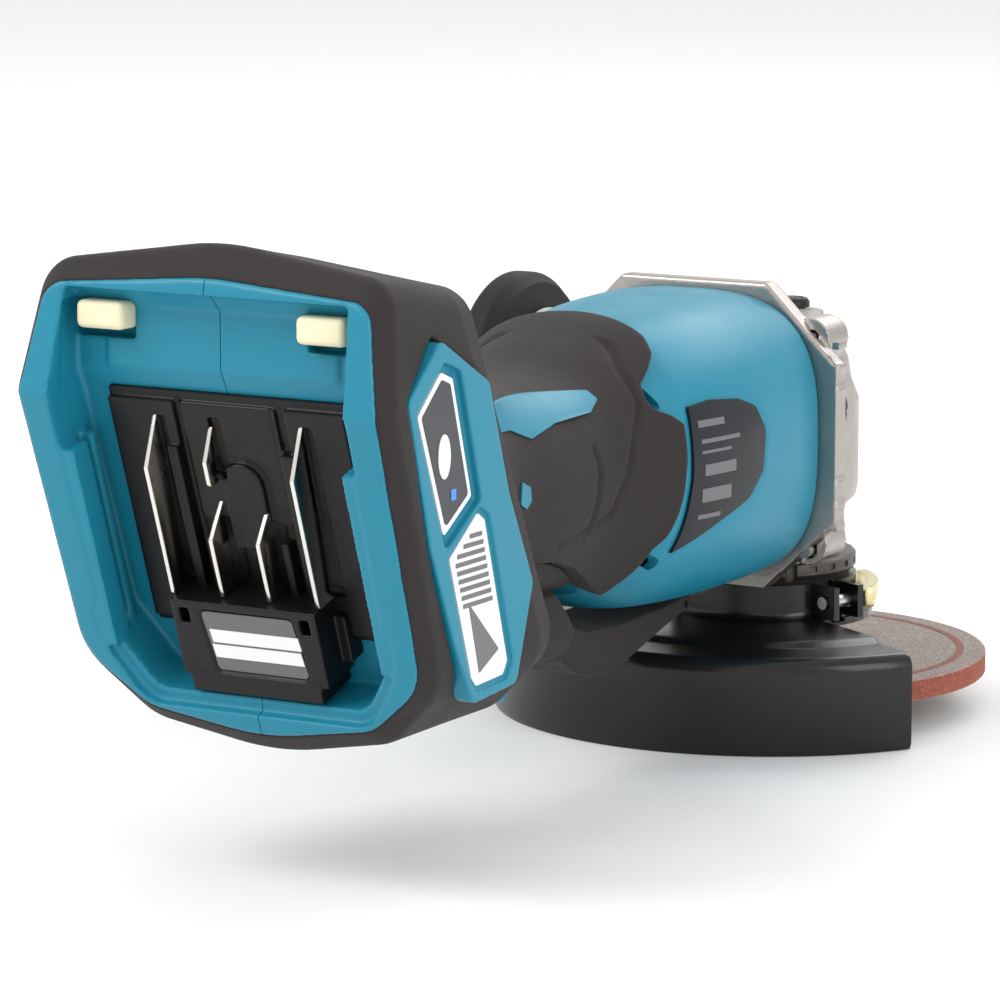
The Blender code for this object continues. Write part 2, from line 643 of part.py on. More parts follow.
def battery_bay():
    turn = (RAIL_ANGLE, 0, 0)
    terminal = block("terminal_block", (66, 5, 57), in_bay(0, 0, -4), BLACK, turn)
    for index, x in enumerate((-20, -6.5, 6.5, 20)):
        rib = block(f"terminal_rib_{index}", (5, 5, 39), in_bay(x, 3.5, 1), BLACK, turn)
        boolean(terminal, rib, "UNION")
    for index, (x, up, height) in enumerate(TERMINALS):
        slot = block(f"blade_slot_{index}", (BLADE_T + 2 * GAP, 20, height + 2 * GAP), in_bay(x, 0, up), None, turn)
        boolean(terminal, slot)
        block(f"terminal_blade_{index + 1}", (BLADE_T, 14, height), in_bay(x, 3.5, up), NICKEL, turn)
    block("rating_plate", (38, 10, 22), in_bay(0, 8, -31.5), BLACK, turn, 0.6)


def bumpers():
    for name, side in (("battery_bumper_left", -1), ("battery_bumper_right", 1)):
        block(name, (13, 9, 7), (side * 29, BAY_Y - 13, REAR_Z + 45), CREAM, radius=2.0)


def inner_units():
    block("switch_unit", (22, 34, 30), (0, -158, 78), BLACK, radius=1.5)
    block("controller", (60, 12, 74), (0, -226, 84), BOARD, (RAIL_ANGLE, 0, 0), 1.5)


# ---------------------------------------------------------------- paddle
def paddle():
    axis = pivot("paddle_axis", PADDLE_PIVOT)
    outline = [(-59, 28), (-59, 24), (-66, 22.5), (-92, 22), (-104, 20.5), (-114, 20.5), (-124, 23), (-133, 28),
               (-186, 33), (-187, 38), (-184, 40), (-150, 37), (-130, 33), (-118, 29), (-95, 27.5)]
    width = 22
    lever = prism("paddle_lever", outline, width, BLACK, (-width / 2, 0, 0), upright(), 1.0, axis)
    slot = block("lock_off_slot", (9, 22, 30), (0, -148, 31), None)
    boolean(lever, slot)


def upright():
    """Turns a flat (y, z) outline to stand in the Y-Z plane, growing towards +X."""
    return Matrix(((0, 0, 1), (1, 0, 0), (0, 1, 0))).to_euler()


def lock_off():
    axis = pivot("lock_off_axis", LOCK_OFF_PIVOT)
    outline = [(-139, 34), (-139, 29), (-143, 27), (-150, 20), (-154, 20), (-154, 23), (-148, 30), (-144, 34)]
    prism("lock_off_lever", outline, 7.6, TEAL, (-3.8, 0, 0), upright(), 0.4, axis)


# ---------------------------------------------------------------- side handle
def side_handle():
    turned("side_handle_stud", [(0, 60), (4, 60), (4, 0), (0, 0)], STEEL, (-90, 0, HANDLE_Z), "X", 20)
    turned("side_handle_boss", [(11, 26), (13, 20), (21, 5), (21, 0), (4 + GAP, 0), (4 + GAP, 26)], GREY,
           (-70, 0, HANDLE_Z), "X", 24)
    turned("side_handle_grip", [(4 + GAP, -GAP - 0), (20, -GAP), (28, -2), (30.5, -6), (30.5, -10), (27, -14), (17, -17),
                                (16, -26), (18, -60), (17.5, -90), (19, -104), (17, -112), (10, -115),
                                (0, -115), (0, -22), (4 + GAP, -22)], RUBBER, (-70, 0, HANDLE_Z), "X", 24)


def main():
    spindle_group()
    rotor_group()
    motor_parts()
    gear_head()
    head_screws()
    shaft_lock_button()
    wheel_guard()
    guard_clamp()
    motor_housing()
    rear_housing_half("rear_housing_right", 1)
    rear_housing_half("rear_housing_left", -1)
    rear_cover()
    side_panels()
    grip_cover()
    name_plate()
    battery_bay()
    bumpers()
    inner_units()
    paddle()
    lock_off()
    side_handle()


main()
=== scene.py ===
"""Looks of the cordless angle grinder: detailed shells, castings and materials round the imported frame.

Lengths are in millimetres in the frame's own axes (+Z up the spindle, -Y to the battery end, +X to the
right-hand side), and piece() scales them to metres.
"""
import json
import math

import bmesh
import bpy
from mathutils import Matrix, Vector

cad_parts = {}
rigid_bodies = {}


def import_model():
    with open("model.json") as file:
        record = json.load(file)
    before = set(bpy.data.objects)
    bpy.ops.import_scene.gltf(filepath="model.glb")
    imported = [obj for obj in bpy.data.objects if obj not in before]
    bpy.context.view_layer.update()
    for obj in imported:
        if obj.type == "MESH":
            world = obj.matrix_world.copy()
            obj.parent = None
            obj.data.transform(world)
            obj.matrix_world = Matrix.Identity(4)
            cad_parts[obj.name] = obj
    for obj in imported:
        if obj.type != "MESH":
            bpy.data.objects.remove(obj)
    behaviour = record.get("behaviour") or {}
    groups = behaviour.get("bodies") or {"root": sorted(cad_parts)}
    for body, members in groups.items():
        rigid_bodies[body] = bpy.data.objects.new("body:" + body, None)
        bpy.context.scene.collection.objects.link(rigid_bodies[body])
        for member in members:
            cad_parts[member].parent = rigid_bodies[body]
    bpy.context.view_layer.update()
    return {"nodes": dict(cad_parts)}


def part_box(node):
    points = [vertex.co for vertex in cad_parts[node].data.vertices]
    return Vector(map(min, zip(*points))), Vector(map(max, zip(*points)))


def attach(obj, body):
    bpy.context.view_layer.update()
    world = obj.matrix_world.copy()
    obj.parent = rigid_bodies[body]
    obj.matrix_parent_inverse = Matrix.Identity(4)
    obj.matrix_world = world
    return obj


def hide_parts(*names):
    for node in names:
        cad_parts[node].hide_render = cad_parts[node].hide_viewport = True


for leftover in list(bpy.data.objects):
    bpy.data.objects.remove(leftover, do_unlink=True)

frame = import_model()
MM = 0.001
SIDES = ((1, "right"), (-1, "left"))
placed = Matrix.Translation


def low(node):
    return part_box(node)[0] / MM


def high(node):
    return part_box(node)[1] / MM


# Driving dimensions, from the frame
AXIS_Z = (low("rotor_shaft").z + high("rotor_shaft").z) / 2
HANDLE_Z = (low("side_handle_grip").z + high("side_handle_grip").z) / 2
WHEEL_R = high("grinding_wheel").x
WHEEL_HUB_TOP = high("grinding_wheel").z
WHEEL_HUB_BOTTOM = low("grinding_wheel").z
GUARD_R = -low("wheel_guard").y
GUARD_BOTTOM = low("wheel_guard").z
GUARD_RIM = high("wheel_guard").z
BOX_TOP = high("bearing_box").z
BOX_BOTTOM = low("bearing_box").z
HEAD_TOP = 104.0
HEAD_BOTTOM = BOX_TOP + 0.3

# Shape of the shells
REAR_Z = 85.5                  # middle height of the battery housing
RIM_Y = -277.0                 # the battery face at that height
BAY_Y = -261.0                 # the bay's floor at that height
LEAN = 0.35                    # how far the battery face leans forward per unit of drop
KINK = 27.0                    # height above REAR_Z where the face turns forward
LEAN_TURN = Matrix.Rotation(math.atan(LEAN), 3, "X")
RUBBER = 2.9                   # how far the rubber stands off the teal shells
SEAM = 0.12                    # half the seam between the clamshell halves
SHELL = 2.5                    # thickness of the teal shells
SHROUD_FRONT = -42.4           # y of the motor shroud's ends
SHROUD_REAR = -129.0
SCREW_X = 33.5                 # places of the head screws, from the motor's axis
SCREW_RISE = 28.5
HEAD_CORNERS = [(side * SCREW_X, AXIS_Z + rise) for side in (-1, 1) for rise in (-SCREW_RISE, SCREW_RISE)]
LOCK_Y = 17.0                  # the shaft lock button stands this far in front of the spindle
HANDLE_ROOT = (-70.0, 0, HANDLE_Z)
SHARP = math.radians(38)       # edges sharper than this stay crisp

# Camera fitted to the photograph, in metres and degrees
CAMERA_PLACE = (0.6239, -1.2265, 0.2795)
CAMERA_TILT = 80.5
CAMERA_TURN = 30.0
CAMERA_LENS = 180.3

# y, middle height, half width, half height and squareness of the body's sections, front to rear
BODY = (
    (-42.3, 75.0, 38.5, 38.8, 3.0),
    (-60.0, 75.0, 40.0, 39.6, 2.8),
    (-85.0, 74.6, 39.5, 39.4, 2.6),
    (-108.0, 74.0, 36.0, 37.0, 2.5),
    (-124.0, 74.0, 30.5, 32.0, 2.4),
    (-140.0, 74.2, 26.5, 27.0, 2.5),
    (-163.0, 74.4, 26.2, 25.4, 2.5),
    (-186.0, 78.0, 26.0, 27.6, 2.5),
    (-201.0, 82.0, 29.0, 33.5, 2.8),
    (-213.0, 84.0, 35.0, 40.0, 3.2),
    (-228.0, 85.0, 37.5, 44.0, 3.6),
    (-242.0, 85.5, 38.0, 45.0, 4.0),
)


# ---------------------------------------------------------------- raw solids, in millimetres
def raw(name, bm):
    bmesh.ops.recalc_face_normals(bm, faces=bm.faces)
    if bm.calc_volume(signed=True) < 0:
        bmesh.ops.reverse_faces(bm, faces=bm.faces)
    mesh = bpy.data.meshes.new(name)
    bm.to_mesh(mesh)
    bm.free()
    obj = bpy.data.objects.new(name, mesh)
    bpy.context.scene.collection.objects.link(obj)
    return obj


def loft(rows, caps=True):
    """A solid through closed rows of points."""
    bm = bmesh.new()
    grid = [[bm.verts.new(point) for point in row] for row in rows]
    columns = len(rows[0])
    for near, far in zip(grid, grid[1:]):
        for c in range(columns):
            n = (c + 1) % columns
            bm.faces.new((near[c], near[n], far[n], far[c]))
    if caps:
        bm.faces.new(grid[0])
        bm.faces.new(grid[-1])
    return raw("loft", bm)


def sleeve(outer, inner, closed=False):
    """A shell between two grids of points, with its rims filled."""
    bm = bmesh.new()
    grids = [[[bm.verts.new(point) for point in row] for row in rows] for rows in (outer, inner)]
    rows = len(outer)
    columns = len(outer[0])
    wrap = columns if closed else columns - 1
    for grid in grids:
        for r in range(rows - 1):
            for c in range(wrap):
                n = (c + 1) % columns
                bm.faces.new((grid[r][c], grid[r][n], grid[r + 1][n], grid[r + 1][c]))
    for r in (0, rows - 1):
        for c in range(wrap):
            n = (c + 1) % columns
            bm.faces.new((grids[0][r][c], grids[0][r][n], grids[1][r][n], grids[1][r][c]))
    if not closed:
        for c in (0, columns - 1):
            for r in range(rows - 1):
                bm.faces.new((grids[0][r][c], grids[0][r + 1][c], grids[1][r + 1][c], grids[1][r][c]))
    return raw("sleeve", bm)


def prism(outline, depth, place=None):
    """A flat (x, y) outline grown along z by depth, then placed by a 4x4 matrix."""
    bm = bmesh.new()
    face = bm.faces.new([bm.verts.new((x, y, 0)) for x, y in outline])
    grown = bmesh.ops.extrude_face_region(bm, geom=[face])["geom"]
    moved = [item for item in grown if isinstance(item, bmesh.types.BMVert)]
    bmesh.ops.translate(bm, verts=moved, vec=(0, 0, depth))
    if place is not None:
        bm.transform(place)
    return raw("prism", bm)


def block(size, centre, turn=None, name="block"):
    bm = bmesh.new()
    bmesh.ops.create_cube(bm, size=1.0)
    bmesh.ops.scale(bm, vec=size, verts=bm.verts)
    if turn is not None:
        bm.transform(turn.to_4x4())
    bmesh.ops.translate(bm, vec=centre, verts=bm.verts)
    return raw(name, bm)


AXIS_TURN = {"X": Matrix.Rotation(math.pi / 2, 4, "Y"), "Y": Matrix.Rotation(-math.pi / 2, 4, "X"),
             "Z": Matrix.Identity(4)}
# Flat outlines stand in the (y, z) plane, or face the battery end
UPRIGHT = Matrix(((0, 0, 1, 0), (1, 0, 0, 0), (0, 1, 0, 0), (0, 0, 0, 1)))
FACING_REAR = Matrix.Rotation(math.pi / 2, 4, "X")


def ring_place(radius, degrees, height):
    """A place on a ring round the spindle."""
    angle = math.radians(degrees)
    return (radius * math.cos(angle), radius * math.sin(angle), height)


def rod(radius, length, centre, axis="Z", sides=40, turn=None):
    bm = bmesh.new()
    bmesh.ops.create_cone(bm, cap_ends=True, segments=sides, radius1=radius, radius2=radius, depth=length)
    bm.transform(AXIS_TURN[axis])
    if turn is not None:
        bm.transform(turn.to_4x4())
    bmesh.ops.translate(bm, vec=centre, verts=bm.verts)
    return raw("rod", bm)


def crosswise(outline, width):
    """A (y, z) outline grown right across the tool, width millimetres wide."""
    return prism(outline, width, placed((-width / 2, 0, 0)) @ UPRIGHT)


def lathe(profile, centre=(0, 0, 0), axis="Z", steps=96):
    """Turn a closed (radius, height) profile about the axis."""
    rows = []
    for step in range(steps):
        angle = 2 * math.pi * step / steps
        rows.append([(r * math.cos(angle), r * math.sin(angle), h) for r, h in profile])
    bm = bmesh.new()
    grid = [[bm.verts.new(point) for point in row] for row in rows]
    for s in range(steps):
        near = grid[s]
        far = grid[(s + 1) % steps]
        for i in range(len(profile)):
            n = (i + 1) % len(profile)
            if profile[i][0] or profile[n][0]:
                bm.faces.new((near[i], near[n], far[n], far[i]))
    bmesh.ops.remove_doubles(bm, verts=bm.verts, dist=0.0005)
    bmesh.ops.dissolve_degenerate(bm, edges=bm.edges, dist=0.0002)
    bm.transform(AXIS_TURN[axis])
    bmesh.ops.translate(bm, vec=centre, verts=bm.verts)
    return raw("lathe", bm)


def rounded(outline, radius, steps=6):
    """The outline with its corners as arcs; radius is one value or one for each corner."""
    points = []
    count = len(outline)
    radii = radius if isinstance(radius, (list, tuple)) else [radius] * count
    for i, (corner, r) in enumerate(zip(outline, radii)):
        here = Vector(corner)
        back = (Vector(outline[i - 1]) - here)
        ahead = (Vector(outline[(i + 1) % count]) - here)
        opening = back.angle(ahead)
        reach = min(r / math.tan(opening / 2), 0.49 * back.length, 0.49 * ahead.length)
        r = reach * math.tan(opening / 2)
        start = here + back.normalized() * reach
        stop = here + ahead.normalized() * reach
        centre = here + (back.normalized() + ahead.normalized()).normalized() * (r / math.sin(opening / 2))
        for step in range(steps + 1):
            part = step / steps
            direction = (start - centre).lerp(stop - centre, part)
            points.append(tuple(centre + direction.normalized() * r))
    return points


def settle(obj):
    """Apply the object's modifiers."""
    depsgraph = bpy.context.evaluated_depsgraph_get()
    mesh = bpy.data.meshes.new_from_object(obj.evaluated_get(depsgraph))
    old = obj.data
    obj.modifiers.clear()
    obj.data = mesh
    bpy.data.meshes.remove(old)


def combine(target, others, operation="DIFFERENCE"):
    for other in others:
        modifier = target.modifiers.new("Boolean", "BOOLEAN")
        modifier.operation = operation
        modifier.solver = "EXACT"
        modifier.object = other
        settle(target)
        bpy.data.objects.remove(other, do_unlink=True)
    return target


def soften(obj, voxel, passes=3, keep=0.25):
    """Round every edge by remeshing finely and smoothing, then thin the mesh."""
    remesh = obj.modifiers.new("Remesh", "REMESH")
    remesh.mode = "VOXEL"
    remesh.voxel_size = voxel
    smooth = obj.modifiers.new("Smooth", "SMOOTH")
    smooth.factor = 0.5
    smooth.iterations = passes
    thin = obj.modifiers.new("Thin", "DECIMATE")
    thin.ratio = keep
    settle(obj)


def bevel(obj, width, segments=3, angle=35):
    modifier = obj.modifiers.new("Bevel", "BEVEL")
    modifier.width = width
    modifier.segments = segments
    modifier.limit_method = "ANGLE"
    modifier.angle_limit = math.radians(angle)
    settle(obj)


def join(objects):
    bm = bmesh.new()
    for obj in objects:
        bm.from_mesh(obj.data)
        bpy.data.objects.remove(obj, do_unlink=True)
    return raw("joined", bm)


def piece(name, obj, mat, body="tool_body"):
    """Scale a solid to metres and paint it; it rides on its body and stands for the CAD node of its name."""
    obj.data.transform(Matrix.Scale(MM, 4))
    obj.name = f"{name}_look"
    obj.data.name = obj.name
    obj.data.materials.clear()
    obj.data.materials.append(mat)
    obj.data.shade_smooth()
    obj.data.set_sharp_from_angle(angle=SHARP)
    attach(obj, body)
    if name in frame["nodes"]:
        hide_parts(name)


# ---------------------------------------------------------------- places on the body
def section_at(y):
    """The body's section at y, eased between the given ones."""
    y = min(max(y, BODY[-1][0]), BODY[0][0])
    i = next(i for i in range(len(BODY) - 1) if BODY[i + 1][0] <= y <= BODY[i][0])
    near = BODY[i]
    far = BODY[i + 1]
    before = BODY[max(i - 1, 0)]
    after = BODY[min(i + 2, len(BODY) - 1)]
    span = near[0] - far[0]
    t = (near[0] - y) / span
    values = []
    for k in range(1, 5):
        into = (far[k] - before[k]) / max(before[0] - far[0], 1e-6) * span
        out = (after[k] - near[k]) / max(near[0] - after[0], 1e-6) * span
        values.append((2 * t ** 3 - 3 * t ** 2 + 1) * near[k] + (t ** 3 - 2 * t ** 2 + t) * into
                      + (-2 * t ** 3 + 3 * t ** 2) * far[k] + (t ** 3 - t ** 2) * out)
    return values


def skin(y, angle, offset=0.0):
    """A point of the body's surface at y, angle degrees round from the top towards +X."""
    middle, half_width, half_height, squareness = section_at(y)
    across = math.sin(math.radians(angle))
    up = math.cos(math.radians(angle))
    x = (half_width + offset) * math.copysign(abs(across) ** (2 / squareness), across)
    z = (half_height + offset) * math.copysign(abs(up) ** (2 / squareness), up)
    return (x, y, middle + z)


def skin_x(y, z, offset=0.0):
    """Half width of the body at y and height z."""
    middle, half_width, half_height, squareness = section_at(y)
    share = min(abs(z - middle) / (half_height + offset), 0.999)
    return (half_width + offset) * (1 - share ** squareness) ** (1 / squareness)


def crossings(outline, z):
    """Least and greatest y where a line at height z crosses a (y, z) outline."""
    found = []
    for (y1, z1), (y2, z2) in zip(outline, outline[1:] + outline[:1]):
        if min(z1, z2) <= z <= max(z1, z2) and z1 != z2:
            found.append(y1 + (y2 - y1) * (z - z1) / (z2 - z1))
    return min(found), max(found)


def side_patch(outline, side, inner, outer, rows, columns):
    """A plate whose (y, z) outline lies on the body's flank, between two offsets from the skin."""
    top = max(z for _, z in outline) - 0.02
    bottom = min(z for _, z in outline) + 0.02
    grids = ([], [])
    for r in range(rows + 1):
        z = top + (bottom - top) * r / rows
        first, last = crossings(outline, z)
        for grid, offset in zip(grids, (outer, inner)):
            row = []
            for c in range(columns + 1):
                y = first + (last - first) * c / columns
                row.append((side * skin_x(y, z, offset), y, z))
            grid.append(row)
    return sleeve(grids[0], grids[1])


def in_bay(across, depth, up):
    """A place in the battery bay: depth is measured rearwards from the bay's floor."""
    return Vector((across, BAY_Y, REAR_Z)) + LEAN_TURN @ Vector((0, -depth, up))


def bay_block(size, across, depth, up):
    return block(size, in_bay(across, depth, up), LEAN_TURN)


BAY_PLACE = placed((0, BAY_Y, REAR_Z)) @ LEAN_TURN.to_4x4() @ FACING_REAR


def mirrored(right):
    """A whole outline from its right half, listed from the top to the bottom."""
    return [*right, *((-x, u) for x, u in reversed(right) if abs(x) > 0.001)]


def lean_shift(u):
    return -LEAN * min(u, KINK) + 0.6 * LEAN * max(u - KINK, 0.0)


# ---------------------------------------------------------------- materials
def material(name, colour, roughness, metallic=0.0, grain=1500.0, depth=0.01, tone=0.06, patchy=0.08,
             sheen=0.0, specular=0.5):
    """A finish whose colour and gloss drift softly, with a fine moulded or cast grain."""
    mat = bpy.data.materials.new(name)
    mat.use_nodes = True
    nodes = mat.node_tree.nodes
    links = mat.node_tree.links
    shader = nodes["Principled BSDF"]
    shader.inputs["Metallic"].default_value = metallic
    shader.inputs["Specular IOR Level"].default_value = specular
    shader.inputs["Sheen Weight"].default_value = sheen
    place = nodes.new("ShaderNodeTexCoord")
    drift = nodes.new("ShaderNodeTexNoise")
    drift.inputs["Scale"].default_value = 38.0
    drift.inputs["Detail"].default_value = 5.0
    fine = nodes.new("ShaderNodeTexNoise")
    fine.inputs["Scale"].default_value = grain
    fine.inputs["Detail"].default_value = 2.0
    links.new(place.outputs["Object"], drift.inputs["Vector"])
    links.new(place.outputs["Object"], fine.inputs["Vector"])
    tint = nodes.new("ShaderNodeMix")
    tint.data_type = "RGBA"
    tint.inputs[6].default_value = (*(c * (1 - tone) for c in colour), 1)
    tint.inputs[7].default_value = (*(min(c * (1 + tone), 1.0) for c in colour), 1)
    links.new(drift.outputs["Fac"], tint.inputs["Factor"])
    links.new(tint.outputs[2], shader.inputs["Base Color"])
    gloss = nodes.new("ShaderNodeMapRange")
    gloss.inputs["From Min"].default_value = 0.3
    gloss.inputs["From Max"].default_value = 0.7
    gloss.inputs["To Min"].default_value = max(roughness - patchy, 0.03)
    gloss.inputs["To Max"].default_value = min(roughness + patchy, 1.0)
    links.new(drift.outputs["Fac"], gloss.inputs["Value"])
    links.new(gloss.outputs["Result"], shader.inputs["Roughness"])
    bump = nodes.new("ShaderNodeBump")
    bump.inputs["Strength"].default_value = 0.95
    bump.inputs["Distance"].default_value = depth * MM
    links.new(fine.outputs["Fac"], bump.inputs["Height"])
    links.new(bump.outputs["Normal"], shader.inputs["Normal"])
    return mat


TEAL = material("Teal plastic", (0.009, 0.205, 0.305), 0.4, grain=1900, depth=0.06, tone=0.04,
                specular=0.35)
RUBBER_MAT = material("Dark rubber", (0.024, 0.0205, 0.0195), 0.72, grain=2100, depth=0.2, tone=0.14,
                      sheen=0.05, specular=0.22)
BLACK = material("Black plastic", (0.005, 0.0045, 0.0045), 0.38, grain=2200, depth=0.06, tone=0.12,
                 specular=0.3)
HANDLE_RUBBER = material("Handle rubber", (0.012, 0.011, 0.0105), 0.6, grain=2400, depth=0.1, tone=0.12,
                         specular=0.25)
PAINT = material("Black gloss paint", (0.008, 0.007, 0.007), 0.22, grain=900, depth=0.03, tone=0.1,
                 patchy=0.05, specular=0.4)
CAST = material("Cast aluminium", (0.42, 0.39, 0.365), 0.38, metallic=1.0, grain=1300, depth=0.09, tone=0.1,
                patchy=0.1)
DARK_CAST = material("Dark cast metal", (0.075, 0.068, 0.062), 0.42, metallic=0.7, grain=1300, depth=0.08,
                     tone=0.15)
STEEL = material("Steel", (0.56, 0.55, 0.53), 0.28, metallic=1.0, grain=1600, depth=0.03, tone=0.06)
NICKEL = material("Nickel plate", (0.78, 0.74, 0.68), 0.2, metallic=1.0, depth=0.02, tone=0.05)
ZINC = material("Yellow zinc plate", (0.72, 0.63, 0.33), 0.3, metallic=1.0, grain=900, depth=0.03, tone=0.2)
COPPER = material("Copper winding", (0.6, 0.25, 0.12), 0.4, metallic=1.0, grain=1400, depth=0.1)
CREAM = material("Cream rubber", (0.8, 0.74, 0.5), 0.6, grain=1800, depth=0.04, tone=0.05)
LABEL = material("Label film", (0.028, 0.03, 0.036), 0.28, grain=1200, tone=0.25)
WINDOW = material("Plate film", (0.011, 0.014, 0.018), 0.25, grain=1200, tone=0.3, specular=0.3)
WHITE = material("White label", (0.8, 0.8, 0.8), 0.45, tone=0.03)
GREY = material("Light grey plastic", (0.55, 0.55, 0.55), 0.5, grain=1900, depth=0.05)
PRINT = material("Grey print", (0.13, 0.13, 0.14), 0.4)
BLUE = material("Blue print", (0.06, 0.25, 0.75), 0.35)
BOARD = material("Potted board", (0.03, 0.12, 0.06), 0.5, grain=2500, depth=0.05)
GREY_FILM = material("Grey film", (0.12, 0.12, 0.125), 0.4)
RED_PRINT = material("Red print", (0.26, 0.1, 0.08), 0.8, depth=0.2, tone=0.2)


def abrasive():
    """Brown resin-bonded grit with a grey woven facing and a reddish edge."""
    mat = material("Abrasive", (0.3, 0.26, 0.23), 0.9, depth=0.35, tone=0.2)
    nodes = mat.node_tree.nodes
    links = mat.node_tree.links
    shader = nodes["Principled BSDF"]
    tint = next(n for n in nodes if n.type == "MIX")
    place = next(n for n in nodes if n.type == "TEX_COORD")
    grit = nodes.new("ShaderNodeTexVoronoi")
    grit.inputs["Scale"].default_value = 1300.0
    speck = nodes.new("ShaderNodeMapRange")
    speck.inputs["From Max"].default_value = 0.9
    speck.inputs["To Min"].default_value = 0.55
    speck.inputs["To Max"].default_value = 1.35
    links.new(place.outputs["Object"], grit.inputs["Vector"])
    links.new(grit.outputs["Distance"], speck.inputs["Value"])
    split = nodes.new("ShaderNodeSeparateXYZ")
    geometry = nodes.new("ShaderNodeNewGeometry")
    links.new(geometry.outputs["Normal"], split.inputs["Vector"])
    upright = nodes.new("ShaderNodeMath")
    upright.operation = "ABSOLUTE"
    links.new(split.outputs["Z"], upright.inputs[0])
    flat = nodes.new("ShaderNodeMapRange")
    flat.inputs["From Min"].default_value = 0.5
    flat.inputs["From Max"].default_value = 0.8
    links.new(upright.outputs["Value"], flat.inputs["Value"])
    edge = nodes.new("ShaderNodeMix")
    edge.data_type = "RGBA"
    edge.inputs[6].default_value = (0.27, 0.075, 0.045, 1)
    links.new(flat.outputs["Result"], edge.inputs["Factor"])
    links.new(tint.outputs[2], edge.inputs[7])
    grain = nodes.new("ShaderNodeMix")
    grain.data_type = "RGBA"
    grain.blend_type = "MULTIPLY"
    grain.inputs["Factor"].default_value = 1.0
    links.new(edge.outputs[2], grain.inputs[6])
    links.new(speck.outputs["Result"], grain.inputs[7])
    links.new(grain.outputs[2], shader.inputs["Base Color"])
    return mat


ABRASIVE = abrasive()

NODE_FINISH = {
    "spindle": STEEL, "inner_flange": STEEL, "bevel_gear": STEEL, "pinion": STEEL, "rotor_shaft": STEEL,
    "rotor_core": STEEL, "cooling_fan": BLACK, "stator": COPPER, "front_motor_bearing": STEEL,
    "rear_motor_bearing": STEEL, "lower_spindle_bearing": STEEL, "upper_spindle_bearing": STEEL,
    "switch_unit": BLACK, "controller": BOARD, "side_handle_stud": STEEL, "guard_clamp_screw": STEEL,
}


def finish_frame_nodes():
    for node, mat in NODE_FINISH.items():
        mesh = frame["nodes"][node].data
        for index in range(max(len(mesh.materials), 1)):
            if len(mesh.materials) <= index:
                mesh.materials.append(mat)
            else:
                mesh.materials[index] = mat


# ---------------------------------------------------------------- battery housing
RIM = mirrored([(0, 56), (44, 52.5), (48.5, 27.5), (46.5, -38), (31, -50.5), (0, -55.5)])
RIM_RADII = [90, 6, 9, 14, 12, 60]
RIM_RADII = RIM_RADII + RIM_RADII[-2:0:-1]


def rim_row(offset, shift):
    """The rim outline grown by offset, shift millimetres in front of the battery face."""
    row = []
    for x, u in rounded(RIM, RIM_RADII, 7):
        direction = Vector((x / 48.5, u / 56.0))
        grow = direction * (offset / max(direction.length, 0.01))
        x += grow.x
        u += grow.y
        row.append((x, RIM_Y + shift + lean_shift(u), REAR_Z + u))
    return row


def bay_cutters():
    floor_top = (BAY_Y - LEAN * KINK, REAR_Z + KINK)
    low_floor = in_bay(0, 0, -45)
    low_mouth = in_bay(0, 42, -45)
    profile = [(low_floor.y, low_floor.z), floor_top, (-274, 119), (-274, 133), (-278, 137), (-320, 141),
               (-320, low_mouth.z), (low_mouth.y, low_mouth.z)]
    side_view = crosswise(profile, 82)
    plan = mirrored([(38, 62), (40.5, 30), (39.5, -28), (29, -44.5)])
    plan_view = prism(rounded(plan, 7), 90, BAY_PLACE @ placed((0, 0, -12)))
    cavity = combine(side_view, [plan_view], "INTERSECT")
    step = prism(rounded(mirrored([(42, -20), (41.5, -30), (31, -47.5)]), 8), 40,
                 BAY_PLACE @ placed((0, 0, 12.2)))
    cutters = [cavity, step]
    for side in (-1, 1):
        cutters.append(block((17, 12, 9), (side * 32, -275, 129.5)))
        cutters.append(block((9, 8, 24), (side * 36, -277, 117)))
        for up in (11, -3, -17):
            cutters.append(bay_block((9, 4, 9), side * 40.5, 4.2, up))
    cutters.append(block((0.8, 5, 22), (0, -274, 123)))
    return cutters


def housing_half(whole, side):
    half = bpy.data.objects.new("half", whole.data.copy())
    bpy.context.scene.collection.objects.link(half)
    bm = bmesh.new()
    bm.from_mesh(half.data)
    plane = SEAM * side
    bmesh.ops.bisect_plane(bm, geom=[*bm.verts, *bm.edges, *bm.faces], plane_co=(plane, 0, 0),
                           plane_no=(-side, 0, 0), clear_outer=True)
    edges = [e for e in bm.edges if e.is_boundary]
    bmesh.ops.holes_fill(bm, edges=edges, sides=0)
    bm.to_mesh(half.data)
    bm.free()
    return half


